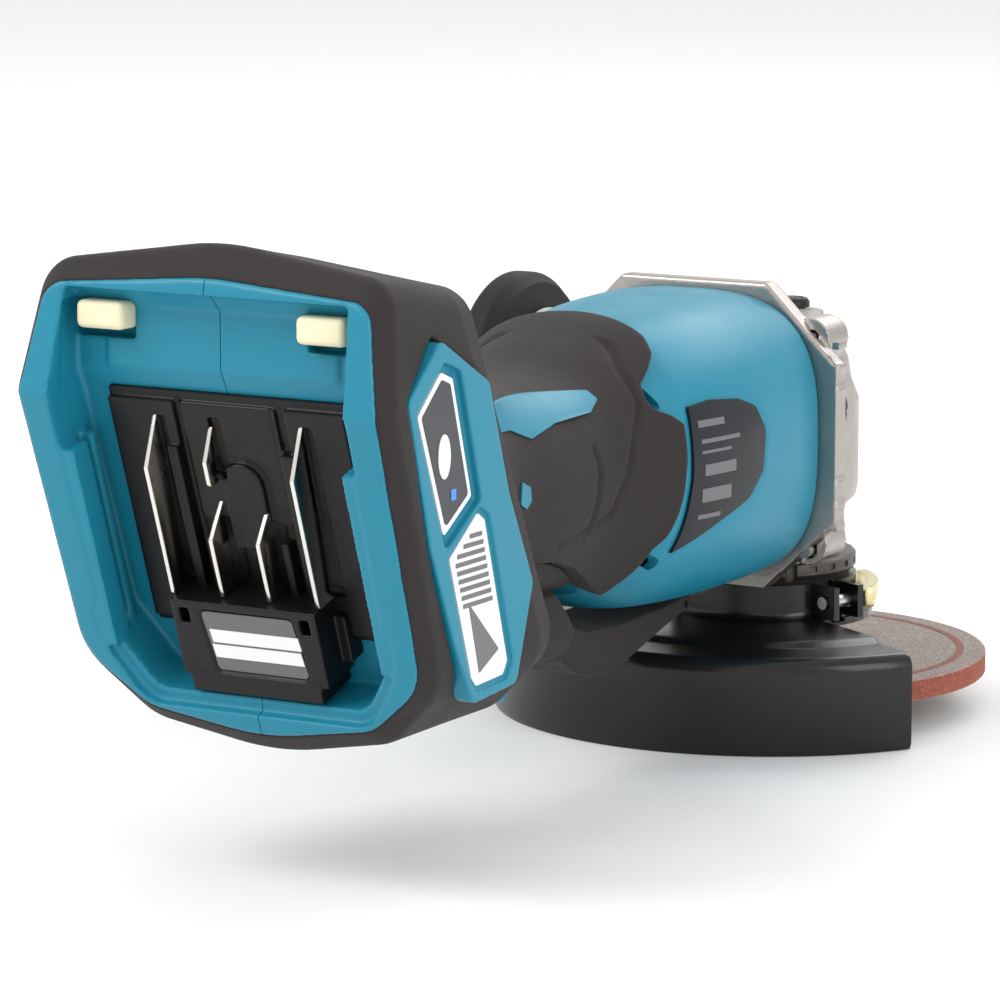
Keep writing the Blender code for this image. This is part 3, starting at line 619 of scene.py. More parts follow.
def rear_housings():
    rows = []
    for offset, shift in ((-12, 38), (-4, 36), (-1, 32), (0, 26), (0, 4), (-0.1, 0.9), (-0.6, 0.15)):
        rows.append(rim_row(offset, shift))
    shell = loft(rows, caps=False)
    bm = bmesh.new()
    bm.from_mesh(shell.data)
    bpy.data.objects.remove(shell, do_unlink=True)
    bm.verts.ensure_lookup_table()
    count = len(rows[0])
    for start in (0, len(bm.verts) - count):
        ring = [bm.verts[start + i] for i in range(count)]
        right = sorted((v for v in ring if v.co.x > 0.01), key=lambda v: -v.co.z)
        left = sorted((v for v in ring if v.co.x < -0.01), key=lambda v: -v.co.z)
        pairs = list(zip(right, left))
        for (r1, l1), (r2, l2) in zip(pairs, pairs[1:]):
            bm.faces.new((r1, l1, l2, r2))
    bmesh.ops.holes_fill(bm, edges=[e for e in bm.edges if e.is_boundary], sides=0)
    solid = raw("housing", bm)
    angles = range(0, 360, 6)
    barrel = loft([[skin(y, a) for a in angles] for y in range(-124, -244, -4)])
    hollow = loft([[skin(y, a, -SHELL) for a in angles] for y in range(-120, -236, -4)])
    front_room = loft([rim_row(-14, 60), rim_row(-14, 24)])
    combine(solid, [barrel], "UNION")
    combine(solid, [hollow, front_room, paddle_well(0.8), *bay_cutters()])
    rails = []
    for side in (-1, 1):
        rails.append(bay_block((8, 6.5, 52), side * 40.6, 11.3, -7))
        rails.append(bay_block((3.4, 2.5, 52), side * 39, 4.5, -7))
    combine(solid, rails, "UNION")
    soften(solid, 0.6, 3, 0.3)
    for side, word in SIDES:
        piece(f"rear_housing_{word}", housing_half(solid, side), TEAL)
    bpy.data.objects.remove(solid, do_unlink=True)


RUBBER_RIM = mirrored([(0, 63.5), (46.5, 57), (51.3, 28), (49.4, -39), (33, -54), (0, -60)])
PANEL = [(-260.7, 128.2), (-238.7, 116.1), (-229.5, 89), (-218.2, 66), (-226, 43), (-246.5, 41.5),
         (-254.5, 56), (-265.5, 81), (-275.2, 115.5)]
PANEL_X = 49.4
DISPLAY = [(-258.6, 120.5), (-253.4, 118.5), (-245.0, 90.2), (-257.6, 82.4), (-269.0, 111.5)]
CHART = [(-243.2, 86.0), (-240.0, 84.0), (-229.5, 49.0), (-231.5, 46.0), (-244.0, 45.4), (-246.0, 47.5),
         (-256.0, 77.0)]


def shrunk(outline, amount):
    """The outline moved inwards by amount, corner by corner."""
    result = []
    count = len(outline)
    area = sum(a[0] * b[1] - b[0] * a[1] for a, b in zip(outline, outline[1:] + outline[:1]))
    turn = 1 if area > 0 else -1
    for i, corner in enumerate(outline):
        here = Vector(corner)
        back = (here - Vector(outline[i - 1])).normalized()
        ahead = (Vector(outline[(i + 1) % count]) - here).normalized()
        normal = (Vector((-back.y, back.x)) + Vector((-ahead.y, ahead.x))) * turn
        normal.normalize()
        slant = max(normal.dot(Vector((-back.y, back.x)) * turn), 0.3)
        result.append(tuple(here + normal * (amount / slant)))
    return result


def side_prism(outline, side, x, thickness, radius=1.5):
    """A (y, z) outline standing on the flank at x, grown outwards."""
    place = Matrix(((0, 0, side, side * x), (1, 0, 0, 0), (0, 1, 0, 0), (0, 0, 0, 1)))
    return prism(rounded(outline, radius), thickness, place)


def rear_cover():
    outer = []
    radii = [60, 9, 12, 16, 14, 60]
    ring = rounded(RUBBER_RIM, radii + radii[-2:0:-1], 7)
    for shrink, shift in ((-24, 67), (-14, 68), (-6, 66), (-1.8, 61.5), (0, 54), (0, 34), (0.2, 6),
                          (-0.2, 4.6), (-0.9, 3.6)):
        row = []
        for x, u in ring:
            direction = Vector((x / 51.0, u / 60.0))
            grow = direction * (shrink / max(direction.length, 0.01))
            far = min(max((shift - 6) / 48, 0), 1)
            forward = shift - (0.4 * max(u - 4, 0) + 0.1 * max(-u - 20, 0)) * far
            sink = 0.075 * max(u, 0) * far
            row.append((x + grow.x, RIM_Y + forward + lean_shift(u), REAR_Z + u + grow.y - sink))
        outer.append(row)
    outer.append(rim_row(0.1, 0.9))
    inner = [rim_row(-24.5, 40), rim_row(-16, 40), rim_row(-8, 40), rim_row(-4, 38), rim_row(-2, 36),
             rim_row(-1, 28), rim_row(-1, 8), rim_row(-1, 5), rim_row(-1, 3), rim_row(-1, 1.6)]
    cover = sleeve(outer, inner, closed=True)
    cutters = []
    for side in (-1, 1):
        cutters.append(side_prism(shrunk(PANEL, -0.5), side, 46.5, 10))
    cutters.append(block((0.7, 120, 1.6), (0, RIM_Y + 30, REAR_Z + 64)))
    combine(cover, cutters)
    soften(cover, 0.6, 3, 0.35)
    piece("rear_cover", cover, RUBBER_MAT)


def side_panels():
    for side, word in SIDES:
        panel = side_prism(PANEL, side, 46.2, PANEL_X - 46.2 + 1.6, 3)
        cutters = [side_prism(shrunk(DISPLAY, -2.2), side, PANEL_X - 0.6, 5, 2),
                   side_prism(shrunk(CHART, -1.4), side, PANEL_X + 0.4, 5, 2)]
        combine(panel, cutters)
        soften(panel, 0.35, 3, 0.35)
        piece(f"side_panel_{word}", panel, TEAL)
    border = side_prism(DISPLAY, 1, PANEL_X - 0.6, 0.8, 1)
    piece("display_border", border, WHITE)
    film = side_prism(shrunk(DISPLAY, 1.5), 1, PANEL_X - 0.6, 1.0, 1)
    piece("display_label", film, LABEL)
    chart = side_prism(CHART, 1, PANEL_X + 0.2, 0.6, 1)
    piece("speed_chart_label", chart, WHITE)
    turns = [t * math.pi / 12 for t in range(24)]
    oval = [(-257.6 + 2.7 * math.cos(turn), 101 + 5.2 * math.sin(turn)) for turn in turns]
    marks = [("display_key", oval, WHITE, "white_label", PANEL_X - 0.6, 1.2),
             ("display_dot", [(-254.6, 93), (-252.4, 93), (-252.4, 90.4), (-254.6, 90.4)], BLUE, "label_film",
              PANEL_X - 0.6, 1.15),
             ("chart_triangle", [(-247.5, 65.5), (-233.6, 52.5), (-242.6, 48.2)], PRINT, "label_film",
              PANEL_X + 0.2, 0.75)]
    for name, outline, mat, slot, x, thickness in marks:
        piece(name, side_prism(outline, 1, x, thickness, 0.3), mat)
    bars = []
    for row in range(9):
        z = 81 - row * 2.0
        first, last = crossings(shrunk(CHART, 2.0), z)
        bars.append(side_prism([(first, z + 0.55), (last, z + 0.55), (last, z - 0.55), (first, z - 0.55)], 1,
                               PANEL_X + 0.2, 0.7, 0.2))
    piece("chart_bars", join(bars), PRINT)


# ---------------------------------------------------------------- battery bay fittings
def terminal_block():
    base = bay_block((65, 4, 62), 0, -0.6, -1)
    pads = [bay_block((18, 3, 58), -23.2, 1.6, -1),
            bay_block((16, 3, 58), 24.2, 1.6, -1),
            bay_block((26, 3, 30), 0.5, 1.2, 13),
            bay_block((5, 5, 44), -16.8, 2.2, -5),
            bay_block((5, 5, 44), 16.4, 2.2, -5),
            bay_block((11, 4, 17), 1.6, 2.4, 0),
            rod(5.5, 4, in_bay(1.6, 2.4, 8), "Y", 28, LEAN_TURN),
            bay_block((4, 5, 14), -9.4, 2.6, -13),
            bay_block((4, 5, 14), 9.4, 2.6, -13)]
    combine(base, pads, "UNION")
    cutters = []
    for x, up, height in ((-20, 1, 44), (20, 1, 44), (-5, 16, 15), (-6.5, -12, 19), (6.5, -12, 19)):
        cutters.append(bay_block((3.4, 6, height), x + 1.2, 3.8, up + 1))
    cutters.append(bay_block((0.9, 4, 40), 12.6, 3.4, 8))
    cutters.append(bay_block((0.7, 4, 30), -13.4, 3.6, 16))
    combine(base, cutters)
    soften(base, 0.4, 2, 0.35)
    piece("terminal_block", base, BLACK)


def blades():
    shapes = {1: (-20, 10.5, -19.5, 14, 25), 2: (20, 10.5, -19.5, 14, 25), 3: (-5.4, 7.5, 8.5, 15, 22),
              4: (-6.5, 10, -19.5, -4, 3), 5: (6.5, 10, -19.5, -4, 3)}
    for index, (x, depth, bottom, shoulder, top) in shapes.items():
        outline = [(-3, bottom), (depth, bottom), (depth, shoulder), (2.2, top), (-3, top)]
        place = placed((x - 0.6, BAY_Y, REAR_Z)) @ LEAN_TURN.to_4x4() @ Matrix(
            ((0, 0, 1, 0), (-1, 0, 0, 0), (0, 1, 0, 0), (0, 0, 0, 1)))
        blade = prism(rounded(outline, 1.0, 3), 1.2, place)
        bevel(blade, 0.3, 2)
        piece(f"terminal_blade_{index}", blade, NICKEL)


def rating_plate():
    body = bay_block((40, 12, 20), 0, 6.5, -29.5)
    lip = bay_block((36, 14, 5), 0, 6, -41)
    combine(body, [lip, bay_block((46, 6, 12), 0, 2, -30)], "UNION")
    cutters = [bay_block((2.6, 6, 4), side * 16.6, 12, -23.5) for side in (-1, 1)]
    cutters.append(prism(rounded([(-12.5, -21.4), (13.5, -21.4), (15.5, -38), (-10.5, -38)], 1.6), 6,
                         BAY_PLACE @ placed((0, 0, 11.9))))
    combine(body, cutters)
    soften(body, 0.35, 2, 0.35)
    piece("rating_plate", body, BLACK)
    film = prism(rounded([(-12, -22), (13, -22), (15, -37.4), (-10, -37.4)], 1.2), 0.4,
                 BAY_PLACE @ placed((0, 0, 11.8)))
    piece("rating_film", film, GREY_FILM)
    strips = []
    for up in (-28.3, -32.3):
        strips.append(prism([(-10.4, up + 1.7), (14.0, up + 1.7), (14.4, up - 1.7), (-10.0, up - 1.7)], 0.3,
                            BAY_PLACE @ placed((0, 0, 12.05))))
    piece("rating_strips", join(strips), WHITE)


def bumpers():
    for name, side in (("battery_bumper_left", -1), ("battery_bumper_right", 1)):
        pad = block((13, 8, 6.6), (side * 30, -275.6, 130.8))
        bevel(pad, 1.6, 4)
        piece(name, pad, CREAM)


# ---------------------------------------------------------------- grip
INSERT = [(-214, 105.5), (-190, 102.6), (-157, 100.7), (-139, 99.5), (-138, 97.2), (-144, 94.5), (-160, 94.4),
          (-176.5, 92.5), (-187, 96.0), (-214, 99.0)]
TAB = [(-186.4, 83.4), (-182, 81.6), (-181.6, 78), (-184, 76.4), (-187.4, 78)]
GROOVES = (
    ([(-119, 108.8), (-124.5, 103), (-125.5, 95.3), (-131, 86.6), (-135, 77.1), (-141, 68.9), (-151, 66.2),
      (-166, 64.7)], 0.75, 0.9),
    ([(-147.3, 86.2), (-146.0, 79.4), (-148, 71.6), (-151.5, 66.4)], 0.8, 0.9),
    ([(-183, 77.4), (-147, 79.9)], 0.7, 0.4),
    ([(-183, 69.2), (-149.5, 71.2)], 0.7, 0.4),
    ([(-183, 63.0), (-153.5, 64.4)], 0.7, 0.4),
)
# The rubber's front edge: degrees from the top, and y
GRIP_EDGE = ((0, -105), (17, -107), (29, -108.5), (38, -111.5), (44, -116), (49, -120.5), (56, -121.5),
             (62, -120.5), (67, -116), (72, -112.8), (85, -113), (92, -114), (99, -115.5), (108, -118),
             (114, -121.5), (125, -124), (136, -126.5), (150, -127.5))
GRIP_LIMIT = 150.0
# The paddle's well in the grip: degrees from the top, and y of its edge there
WELL_EDGE = ((116, -190.0), (117, -166.0), (120, -160.5), (125, -153.5), (134, -146), (143, -139),
             (150, -133),
             (180, -124))
WELL_SIDE = [(y, angle) for angle, y in WELL_EDGE]


def along(table, value):
    """Read a table of (key, reading) pairs at a value."""
    for (k1, r1), (k2, r2) in zip(table, table[1:]):
        if value <= k2:
            return r1 + (r2 - r1) * max(value - k1, 0) / (k2 - k1)
    return table[-1][1]


def away_from(line, y, z):
    """Distance from a point to a line of (y, z) points."""
    least = 1e9
    for (y1, z1), (y2, z2) in zip(line, line[1:]):
        run = (y2 - y1) ** 2 + (z2 - z1) ** 2
        t = min(max(((y - y1) * (y2 - y1) + (z - z1) * (z2 - z1)) / run, 0), 1)
        least = min(least, math.hypot(y - y1 - t * (y2 - y1), z - z1 - t * (z2 - z1)))
    return least


def grip_cover():
    rows = 190
    columns = 240
    rear = -240.0
    outer = []
    inner = []
    for r in range(rows + 1):
        t = r / rows
        out_row = []
        in_row = []
        for c in range(columns + 1):
            angle = -GRIP_LIMIT + 2 * GRIP_LIMIT * c / columns
            front = along(GRIP_EDGE, abs(angle))
            y = front + (rear - front) * t
            edge = min((front - y) / 2.2, 1.0)
            side = min(min(c, columns - c) / 3.0, 1.0)
            offset = 0.4 + RUBBER * math.sqrt(max(1 - (1 - edge) ** 2, 0.0)) * (0.3 + 0.7 * side)
            z = skin(y, angle, offset)[2]
            if abs(angle) > 12:
                for line, width, depth in GROOVES:
                    gap = away_from(line, y, z) / width
                    if gap < 3:
                        offset -= depth * math.exp(-gap * gap)
            out_row.append(skin(y, angle, offset))
            in_row.append(skin(y, angle, 0.3))
        outer.append(out_row)
        inner.append(in_row)
    cover = sleeve(outer, inner)
    combine(cover, [paddle_well(0.0)])
    piece("grip_cover", cover, RUBBER_MAT)
    for side, word in SIDES:
        strip = side_patch(INSERT, side, RUBBER - 0.6, RUBBER + 0.9, 30, 40)
        piece(f"grip_insert_{word}", strip, TEAL)
        tab = side_patch(TAB, side, RUBBER - 0.6, RUBBER + 0.9, 12, 8)
        piece(f"grip_tab_{word}", tab, TEAL)


def paddle_well(grow):
    """The room under the grip that the paddle moves in, as a side outline right across the tool."""
    outline = []
    for angle, y in WELL_EDGE:
        z = skin(max(y, -189), angle, 1.5)[2]
        outline.append((y + grow, z + grow))
    outline += [(-124 + grow, 20), (-190, 20)]
    return crosswise(outline, 90)


# ---------------------------------------------------------------- motor housing
WINDOW_PLATE = [(-108.4, 92.0), (-99.5, 93.0), (-88, 92.0), (-81, 89.5), (-77, 82.7), (-78.5, 72.2),
                (-85, 65.7), (-97, 61.4), (-108, 57.0), (-113, 54.8), (-111.3, 62.5), (-109.2, 74.0),
                (-109.0, 85.0)]


def motor_housing():
    rows = 84
    columns = 144
    outer = []
    inner = []
    for r in range(rows + 1):
        y = SHROUD_FRONT + (SHROUD_REAR - SHROUD_FRONT) * r / rows
        out_row = []
        in_row = []
        for c in range(columns):
            angle = 360 * c / columns
            lip = min((SHROUD_FRONT - y) / 1.5, 1.0)
            offset = -0.8 * (1 - math.sqrt(max(1 - (1 - lip) ** 2, 0)))
            z = skin(y, angle)[2]
            if 45 < angle < 135 or 225 < angle < 315:
                inside = away_from(WINDOW_PLATE + WINDOW_PLATE[:1], y, z)
                offset -= 0.6 * math.exp(-(inside / 1.1) ** 2)
            out_row.append(skin(y, angle, offset))
            in_row.append(skin(y, angle, -SHELL))
        outer.append(out_row)
        inner.append(in_row)
    shroud = sleeve(outer, inner, closed=True)
    cutters = []
    for side in (-1, 1):
        for (y, z), tilt, size in (((-119.4, 95.6), -62, (9, 8.5, 3.4)), ((-119.5, 53.6), -28, (10, 9, 3.2))):
            turn = Matrix.Rotation(math.radians(tilt), 3, "X")
            slot = block(size, (side * skin_x(y, z), y, z), turn)
            bevel(slot, 1.4, 3)
            cutters.append(slot)
    combine(shroud, cutters)
    piece("motor_housing", shroud, TEAL)
    plate = side_patch(WINDOW_PLATE, 1, -0.5, 0.35, 40, 28)
    piece("name_plate", plate, WINDOW)
    marks = []
    for z, first, last, height in ((87.5, -106.5, -96, 1.8), (83, -106, -90, 1.1), (80.2, -106, -94, 0.8),
                                   (75.5, -105, -92, 3.0), (69, -106, -94, 3.6), (63.5, -107, -98, 1.2)):
        top = z + height / 2
        bottom = z - height / 2
        outline = [(first, top), (last, top), (last, bottom), (first, bottom)]
        marks.append(side_patch(outline, 1, 0.3, 0.5, 3, 8))
    piece("name_plate_bars", join(marks), PRINT)


# ---------------------------------------------------------------- gear head
def octagon(half, corner):
    return [(half, corner), (corner, half), (-corner, half), (-half, corner),
            (-half, -corner), (-corner, -half), (corner, -half), (half, -corner)]


def head_rows():
    rows = []
    for radius, height in ((22.4, HEAD_BOTTOM), (23, 49), (26.4, 52), (27, 55), (27, 79), (25, 84), (24, 90),
                           (20.5, 98), (16, HEAD_TOP - 2)):
        row = [(-radius, -38, height)]
        for index in range(33):
            angle = math.pi * (1 - index / 32)
            row.append((radius * math.cos(angle), radius * math.sin(angle) - 1, height))
        row.append((radius, -38, height))
        rows.append(row)
    return rows


def gear_head():
    head = loft(head_rows())
    across = placed((0, -36, AXIS_Z)) @ FACING_REAR
    plate = [(x, z if z > 0 else 0.92 * z) for x, z in octagon(43, 22)]
    parts = [prism(plate, 6, across), prism(octagon(37, 19), 6, placed((0, 5, 0)) @ across),
             rod(14, 13, (-30, 0, HANDLE_Z), "X"), rod(11, 9, (-35.5, 0, HANDLE_Z), "X"),
             rod(11.5, 9, (23.2, -9, HANDLE_Z), "X"), rod(9, 9, (24.2, -9, HANDLE_Z), "X"),
             rod(9, 4, (0, LOCK_Y, HEAD_TOP - 5))]
    for side in (-1, 1):
        for z in (56, 62, 94):
            parts.append(block((5, 26, 2.2), (side * 26.0, -20, z)))
        for z in (46, 101):
            parts.append(rod(6.0, 12, (side * 33.0, -32, z), "Y", 24))
        parts.append(block((7, 12, 52), (side * 31, -32, AXIS_Z)))
    for index in range(5):
        parts.append(block((2.0, 7, 30), (-14 + 7 * index, 23.6 - abs(index - 2) * 2.2, 66)))
    for side in (-1, 1):
        for z in (51.5, 57.5, 63.5, 88.5, 94.5, 100.5):
            parts.append(block((2.4, 5, 2.0), (side * 42.6, -39, z)))
    combine(head, parts, "UNION")
    cutters = [rod(20.5, 42, (0, 0, HEAD_BOTTOM + 19)), rod(24.2, 24, (0, 0, 66)), rod(9.3, 40, (0, 0, 75)),
               rod(11.3, 34, (0, -27, AXIS_Z), "Y"), rod(4.0, 26, (-38, 0, HANDLE_Z), "X", 24),
               rod(4.0, 12, (30, -9, HANDLE_Z), "X", 24), rod(5.5, 14, (0, LOCK_Y, 103), sides=32),
               rod(2.9, 40, (0, LOCK_Y, 85), sides=24)]
    for x, z in HEAD_CORNERS:
        cutters.append(rod(4.4, 14, (x, -29.2, z), "Y", 24))
        cutters.append(rod(2.4, 9, (x, -35, z), "Y", 16))
    combine(head, cutters)
    soften(head, 0.5, 3, 0.3)
    piece("gear_housing", head, CAST)


def head_screws():
    profile = [(0, 3.8), (3.0, 3.8), (3.7, 3.2), (3.8, 0.3), (2.0, 0.3), (2.0, -5.5), (0, -5.5)]
    star = []
    for point in range(12):
        reach = 2.1 if point % 2 else 1.35
        star.append((reach * math.cos(point * math.pi / 6), reach * math.sin(point * math.pi / 6)))
    for index, (x, z) in enumerate(HEAD_CORNERS, 1):
        screw = lathe(profile, (x, -36, z), "Y", 32)
        combine(screw, [prism(star, 4, placed((x, -30.6, z)) @ FACING_REAR)])
        piece(f"head_screw_{index}", screw, STEEL)


def bearing_box():
    collar = 24.0
    profile = [(25.4, BOX_TOP), (26.2, BOX_TOP - 0.8), (26.2, 32.4), (25.6, 31.6), (collar + 1.2, 31.6),
               (collar + 0.4, 30.4), (collar, 29), (collar, 20.5), (collar - 0.6, 18), (9.5, 18),
               (9.5, 20.6), (16.1, 20.6), (16.1, BOX_TOP)]
    box = lathe(profile, steps=144)
    cutters = []
    for degrees in range(45, 360, 90):
        cutters.append(rod(1.8, 10, ring_place(26.4, degrees, 34), sides=24))
    for degrees in range(0, 360, 15):
        turn = Matrix.Rotation(math.radians(degrees), 3, "Z")
        cutters.append(block((2, 2.2, 1.6), ring_place(26.6, degrees, 34), turn))
    combine(box, cutters)
    bevel(box, 0.25, 2)
    piece("bearing_box", box, DARK_CAST)


def shaft_lock():
    button = lathe([(0, 104.6), (2.4, 104.6), (2.7, 104.2), (3.2, 104.2), (3.5, 104.6), (4.4, 104.4),
                    (5.1, 103.4), (5.1, 102), (2.5, 102), (2.5, 74.5), (0, 74.5)], (0, LOCK_Y, 0), "Z", 48)
    piece("shaft_lock_button", button, BLACK, "shaft_lock")


# ---------------------------------------------------------------- guard and wheel
GUARD_TOP = 19.0
GUARD_SHEET = 2.0
GUARD_MIDDLE = math.radians(-112.5)
GUARD_CLOSED = math.radians(164)
CLAMP_ANGLE = math.radians(-20)
CLAMP_Z = 25.5


def clamp_place(across, sideways, height=CLAMP_Z):
    return Matrix.Rotation(CLAMP_ANGLE, 3, "Z") @ Vector((across, sideways, height))


def arc(cx, cy, radius, start, stop, steps=6):
    """Points of an arc in (radius, height), angles in degrees."""
    points = []
    for step in range(steps + 1):
        angle = math.radians(start + (stop - start) * step / steps)
        points.append((cx + radius * math.cos(angle), cy + radius * math.sin(angle)))
    return points


def wheel_guard():
    wall = GUARD_R - GUARD_SHEET
    outer_bend = 4.0
    profile = [(26.3, GUARD_RIM), (26.3, GUARD_TOP + 3.5), *arc(28.3, GUARD_TOP + 3.5, 2.0, 180, 270),
               (55.5, GUARD_TOP + 1.5), (57, GUARD_TOP + 1.2), (58.8, GUARD_TOP + 0.3), (60, GUARD_TOP),
               *arc(GUARD_R - outer_bend, GUARD_TOP - outer_bend, outer_bend, 90, 0, 8),
               (GUARD_R, GUARD_BOTTOM + 1.5), (GUARD_R - 0.6, GUARD_BOTTOM), (wall, GUARD_BOTTOM),
               *arc(wall - 2.5, GUARD_TOP - GUARD_SHEET - 2.5, 2.5, 0, 90, 5),
               (59.5, GUARD_TOP - GUARD_SHEET), (56.5, GUARD_TOP - 0.5), (24.3, GUARD_TOP - 0.5),
               (24.3, GUARD_RIM)]
    guard = lathe(profile, steps=240)
    opening = 2 * math.pi - GUARD_CLOSED
    middle = GUARD_MIDDLE + math.pi
    outline = []
    for radius, sign in ((95, 1), (31, -1)):
        for index in range(25):
            angle = middle + sign * opening * (index / 24 - 0.5)
            outline.append((radius * math.cos(angle), radius * math.sin(angle)))
    wedge = prism(outline, 60, placed((0, 0, GUARD_BOTTOM - 10)))
    turn = Matrix.Rotation(CLAMP_ANGLE, 3, "Z")
    combine(guard, [wedge, block((14, 5, 12), clamp_place(28, 0), turn)])
    combine(guard, [block((10, 2, 9), clamp_place(30, side * 4.5), turn) for side in (-1, 1)], "UNION")
    combine(guard, [rod(2.1, 24, clamp_place(31, 0), "Y", 20, turn)])
    bevel(guard, 0.35, 2, 50)
    piece("wheel_guard", guard, PAINT, "guard")


def clamp_lever():
    outline = []
    for radius, angles in ((32.6, range(24, 76, 4)), (29.0, range(72, 22, -4))):
        for angle in angles:
            turn = math.radians(angle)
            outline.append((radius * math.cos(turn) - 31, radius * math.sin(turn) - 10.5))
    outline += [(-2.6, -2.6), (0, -3.7), (2.6, -2.6), (3.6, 0)]
    place = placed(clamp_place(31, 10.5, CLAMP_Z - 2.5)) @ Matrix.Rotation(CLAMP_ANGLE, 4, "Z")
    lever = prism(outline, 5, place)
    bevel(lever, 0.7, 3)
    piece("guard_clamp_lever", lever, ZINC, "clamp_lever")


def grinding_wheel():
    top = 8.5
    bottom = 2.5
    profile = [(11.1, WHEEL_HUB_TOP), (20, WHEEL_HUB_TOP), (22, WHEEL_HUB_TOP - 0.6), (25, top + 0.5),
               (27, top), (WHEEL_R - 0.4, top), (WHEEL_R, top - 0.4), (WHEEL_R, bottom + 0.4),
               (WHEEL_R - 0.4, bottom), (27, bottom), (25, bottom + 0.5), (22, WHEEL_HUB_BOTTOM + 3.4),
               (20, bottom + 4), (11.1, bottom + 4)]
    wheel = lathe(profile, steps=180)
    piece("grinding_wheel", wheel, ABRASIVE, "spindle")
    band = lathe([(56.5, top + 0.12), (54.5, top + 0.12), (54.5, top - 0.2), (56.5, top - 0.2)], steps=180)
    piece("wheel_print_ring", band, RED_PRINT, "spindle")
    ring = lathe([(11.05, WHEEL_HUB_TOP + 0.25), (14.5, WHEEL_HUB_TOP + 0.25), (14.5, WHEEL_HUB_TOP - 0.2),
                  (11.05, WHEEL_HUB_TOP - 0.2)][::-1], steps=96)
    piece("wheel_bore_ring", ring, STEEL, "spindle")


def lock_nut():
    profile = [(7.3, 8.6), (10.7, 8.6), (10.7, 6.2), (18.6, 6.2), (19, 5.8), (19, 2.0), (18.5, 1.5),
               (7.3, 1.5)]
    nut = lathe(profile[::-1], steps=96)
    combine(nut, [rod(2.5, 6, ring_place(15, degrees, 1.0), sides=24) for degrees in range(45, 360, 90)])
    piece("lock_nut", nut, BLACK, "spindle")


# ---------------------------------------------------------------- paddle and side handle
def paddle():
    outline = [(-62, 34), (-62, 30.4), (-68, 29.8), (-76, 28), (-84, 26), (-92, 23.8), (-100, 21.8),
               (-106, 20.8), (-114, 20.6), (-124, 23), (-133, 28), (-160, 30.5), (-186, 33), (-188, 36.5),
               (-184, 44),
               (-150, 44), (-134, 38), (-120, 33.5), (-104, 32.6), (-80, 33.0), (-68, 34)]
    lever = crosswise(rounded(outline, 2.0, 4), 22)
    lobe = []
    for z, half, front, rear in ((29, 10, -130, -180), (31, 12.5, -128, -184), (36, 15.5, -129, -186),
                                 (42, 17.0, -136, -186), (48, 17.0, -142, -186), (50, 14, -145, -184)):
        lobe.append([(x, y, z) for x, y in rounded([(half, front - 3), (half, rear), (-half, rear),
                                                    (-half, front - 3), (0, front)], 4, 4)])
    outer = []
    inner = []
    for y in range(-187, -137, 2):
        reach = along(WELL_SIDE, y + 1.5) + 1.5
        outer.append([skin(y, reach + (360 - 2 * reach) * c / 48, 0.9) for c in range(49)])
        inner.append([skin(y, reach + (360 - 2 * reach) * c / 48, -2.4) for c in range(49)])
    combine(lever, [loft(lobe), sleeve(outer, inner)], "UNION")
    combine(lever, [block((9, 22, 60), (0, -148, 41)), rod(1.1, 40, (0, -65.2, 31.8), "X", 20)])
    soften(lever, 0.45, 4, 0.35)
    piece("paddle_lever", lever, RUBBER_MAT, "paddle")


def lock_off():
    outline = [(-139, 34), (-139, 29), (-143, 27), (-150, 20), (-154, 20), (-154, 23), (-148, 30), (-144, 34)]
    lever = crosswise(rounded(outline, 0.9, 3), 7.6)
    bevel(lever, 0.7, 3)
    piece("lock_off_lever", lever, TEAL, "lock_off")


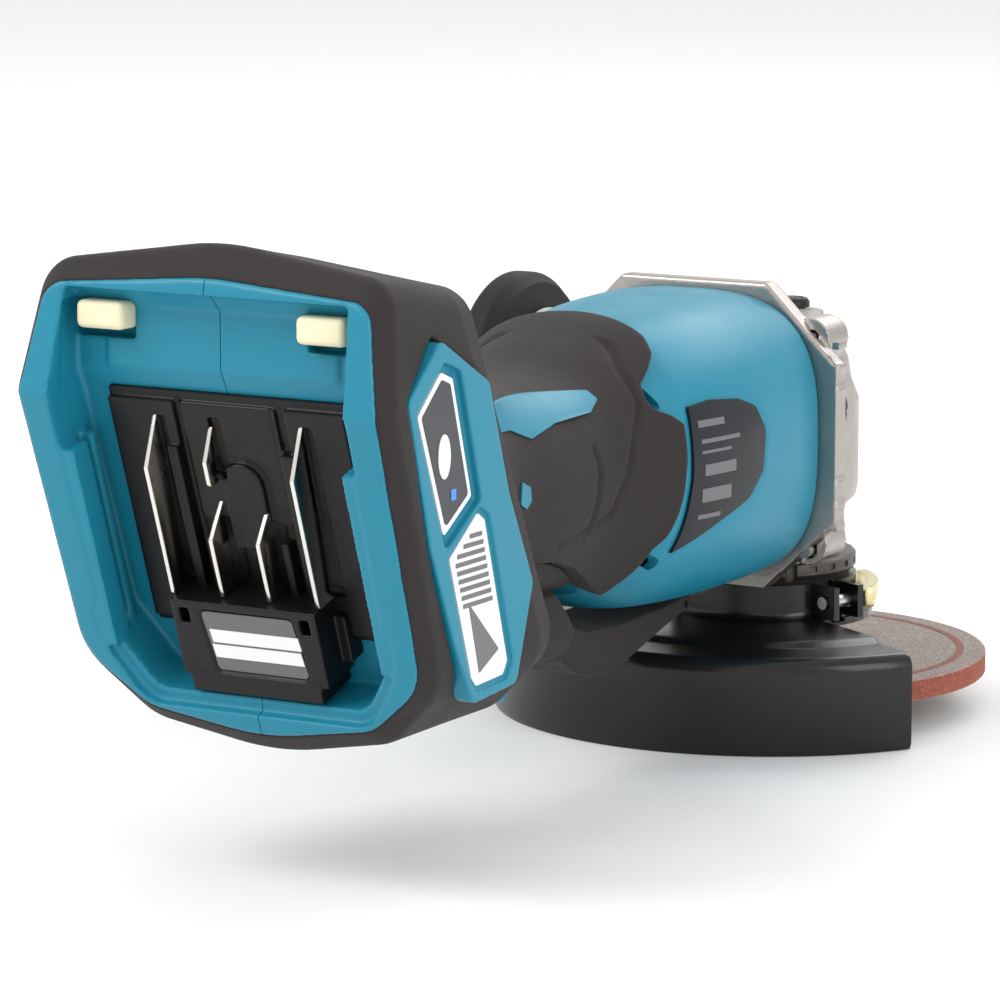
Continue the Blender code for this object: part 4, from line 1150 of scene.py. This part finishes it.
def side_handle():
    boss = lathe([(10.5, 26), (11.5, 25), (13, 20), (20.6, 5), (21, 4), (21, 0.6), (20.4, 0), (4.3, 0),
                  (4.3, 26)],
                 HANDLE_ROOT, "X", 96)
    piece("side_handle_boss", boss, GREY)
    profile = [(4.3, -0.3), (20, -0.3), (28, -1.8), *arc(28.2, -6.0, 2.6, 60, 0, 4),
               *arc(28.2, -10, 2.6, 0, -50, 4), (26, -14.5), (18.5, -17.5), (16.6, -21), (16.2, -26)]
    for step in range(62):
        reach = -28 - step * 1.2
        body = 16.4 + 1.6 * math.sin(math.pi * (step / 61) ** 0.8)
        groove = 0.8 if step % 4 == 0 else 0.0
        profile.append((body - groove, reach))
    profile += [(18.6, -103), (19.2, -106), (18.6, -110), (16, -113.4), (11, -115), (0, -115), (0, -22),
                (4.3, -22)]
    grip = lathe(profile[::-1], HANDLE_ROOT, "X", 96)
    piece("side_handle_grip", grip, HANDLE_RUBBER)


# ---------------------------------------------------------------- studio
def lamp(name, place, target, size, power):
    light = bpy.data.lights.new(name, "AREA")
    light.shape = "RECTANGLE"
    light.size, light.size_y = size
    light.energy = power
    obj = bpy.data.objects.new(name, light)
    obj.location = place
    obj.rotation_euler = (Vector(target) - Vector(place)).to_track_quat("-Z", "Y").to_euler()
    bpy.context.scene.collection.objects.link(obj)


def studio():
    floor = block((8000, 8000, 20), (0, 0, GUARD_BOTTOM - 10.2), name="floor")
    floor.data.transform(Matrix.Scale(MM, 4))
    paper = material("Pale floor", (0.86, 0.86, 0.86), 0.75, grain=300, depth=0.02, tone=0.01)
    floor.data.materials.append(paper)
    world = bpy.data.worlds.new("Studio")
    world.use_nodes = True
    world.node_tree.nodes["Background"].inputs["Color"].default_value = (1.0, 1.0, 1.0, 1)
    world.node_tree.nodes["Background"].inputs["Strength"].default_value = 0.95
    bpy.context.scene.world = world
    middle = (0, -0.12, 0.07)
    lamp("Key", (-1.1, -1.3, 1.7), middle, (1.4, 1.0), 26)
    lamp("Side", (1.8, -0.5, 0.9), middle, (0.9, 1.4), 13)
    lamp("Rear", (0.2, 1.6, 1.4), middle, (1.6, 0.7), 12)
    camera = bpy.data.cameras.new("Camera")
    camera.sensor_width = 36.0
    camera.lens = CAMERA_LENS
    camera.clip_end = 50.0
    eye = bpy.data.objects.new("Camera", camera)
    eye.location = CAMERA_PLACE
    eye.rotation_euler = (math.radians(CAMERA_TILT), 0, math.radians(CAMERA_TURN))
    bpy.context.scene.collection.objects.link(eye)
    bpy.context.scene.camera = eye
    bpy.context.scene.view_settings.view_transform = "Standard"


def main():
    finish_frame_nodes()
    rear_housings()
    rear_cover()
    side_panels()
    terminal_block()
    blades()
    rating_plate()
    bumpers()
    grip_cover()
    motor_housing()
    gear_head()
    head_screws()
    bearing_box()
    shaft_lock()
    wheel_guard()
    clamp_lever()
    grinding_wheel()
    lock_nut()
    paddle()
    lock_off()
    side_handle()
    studio()


main()
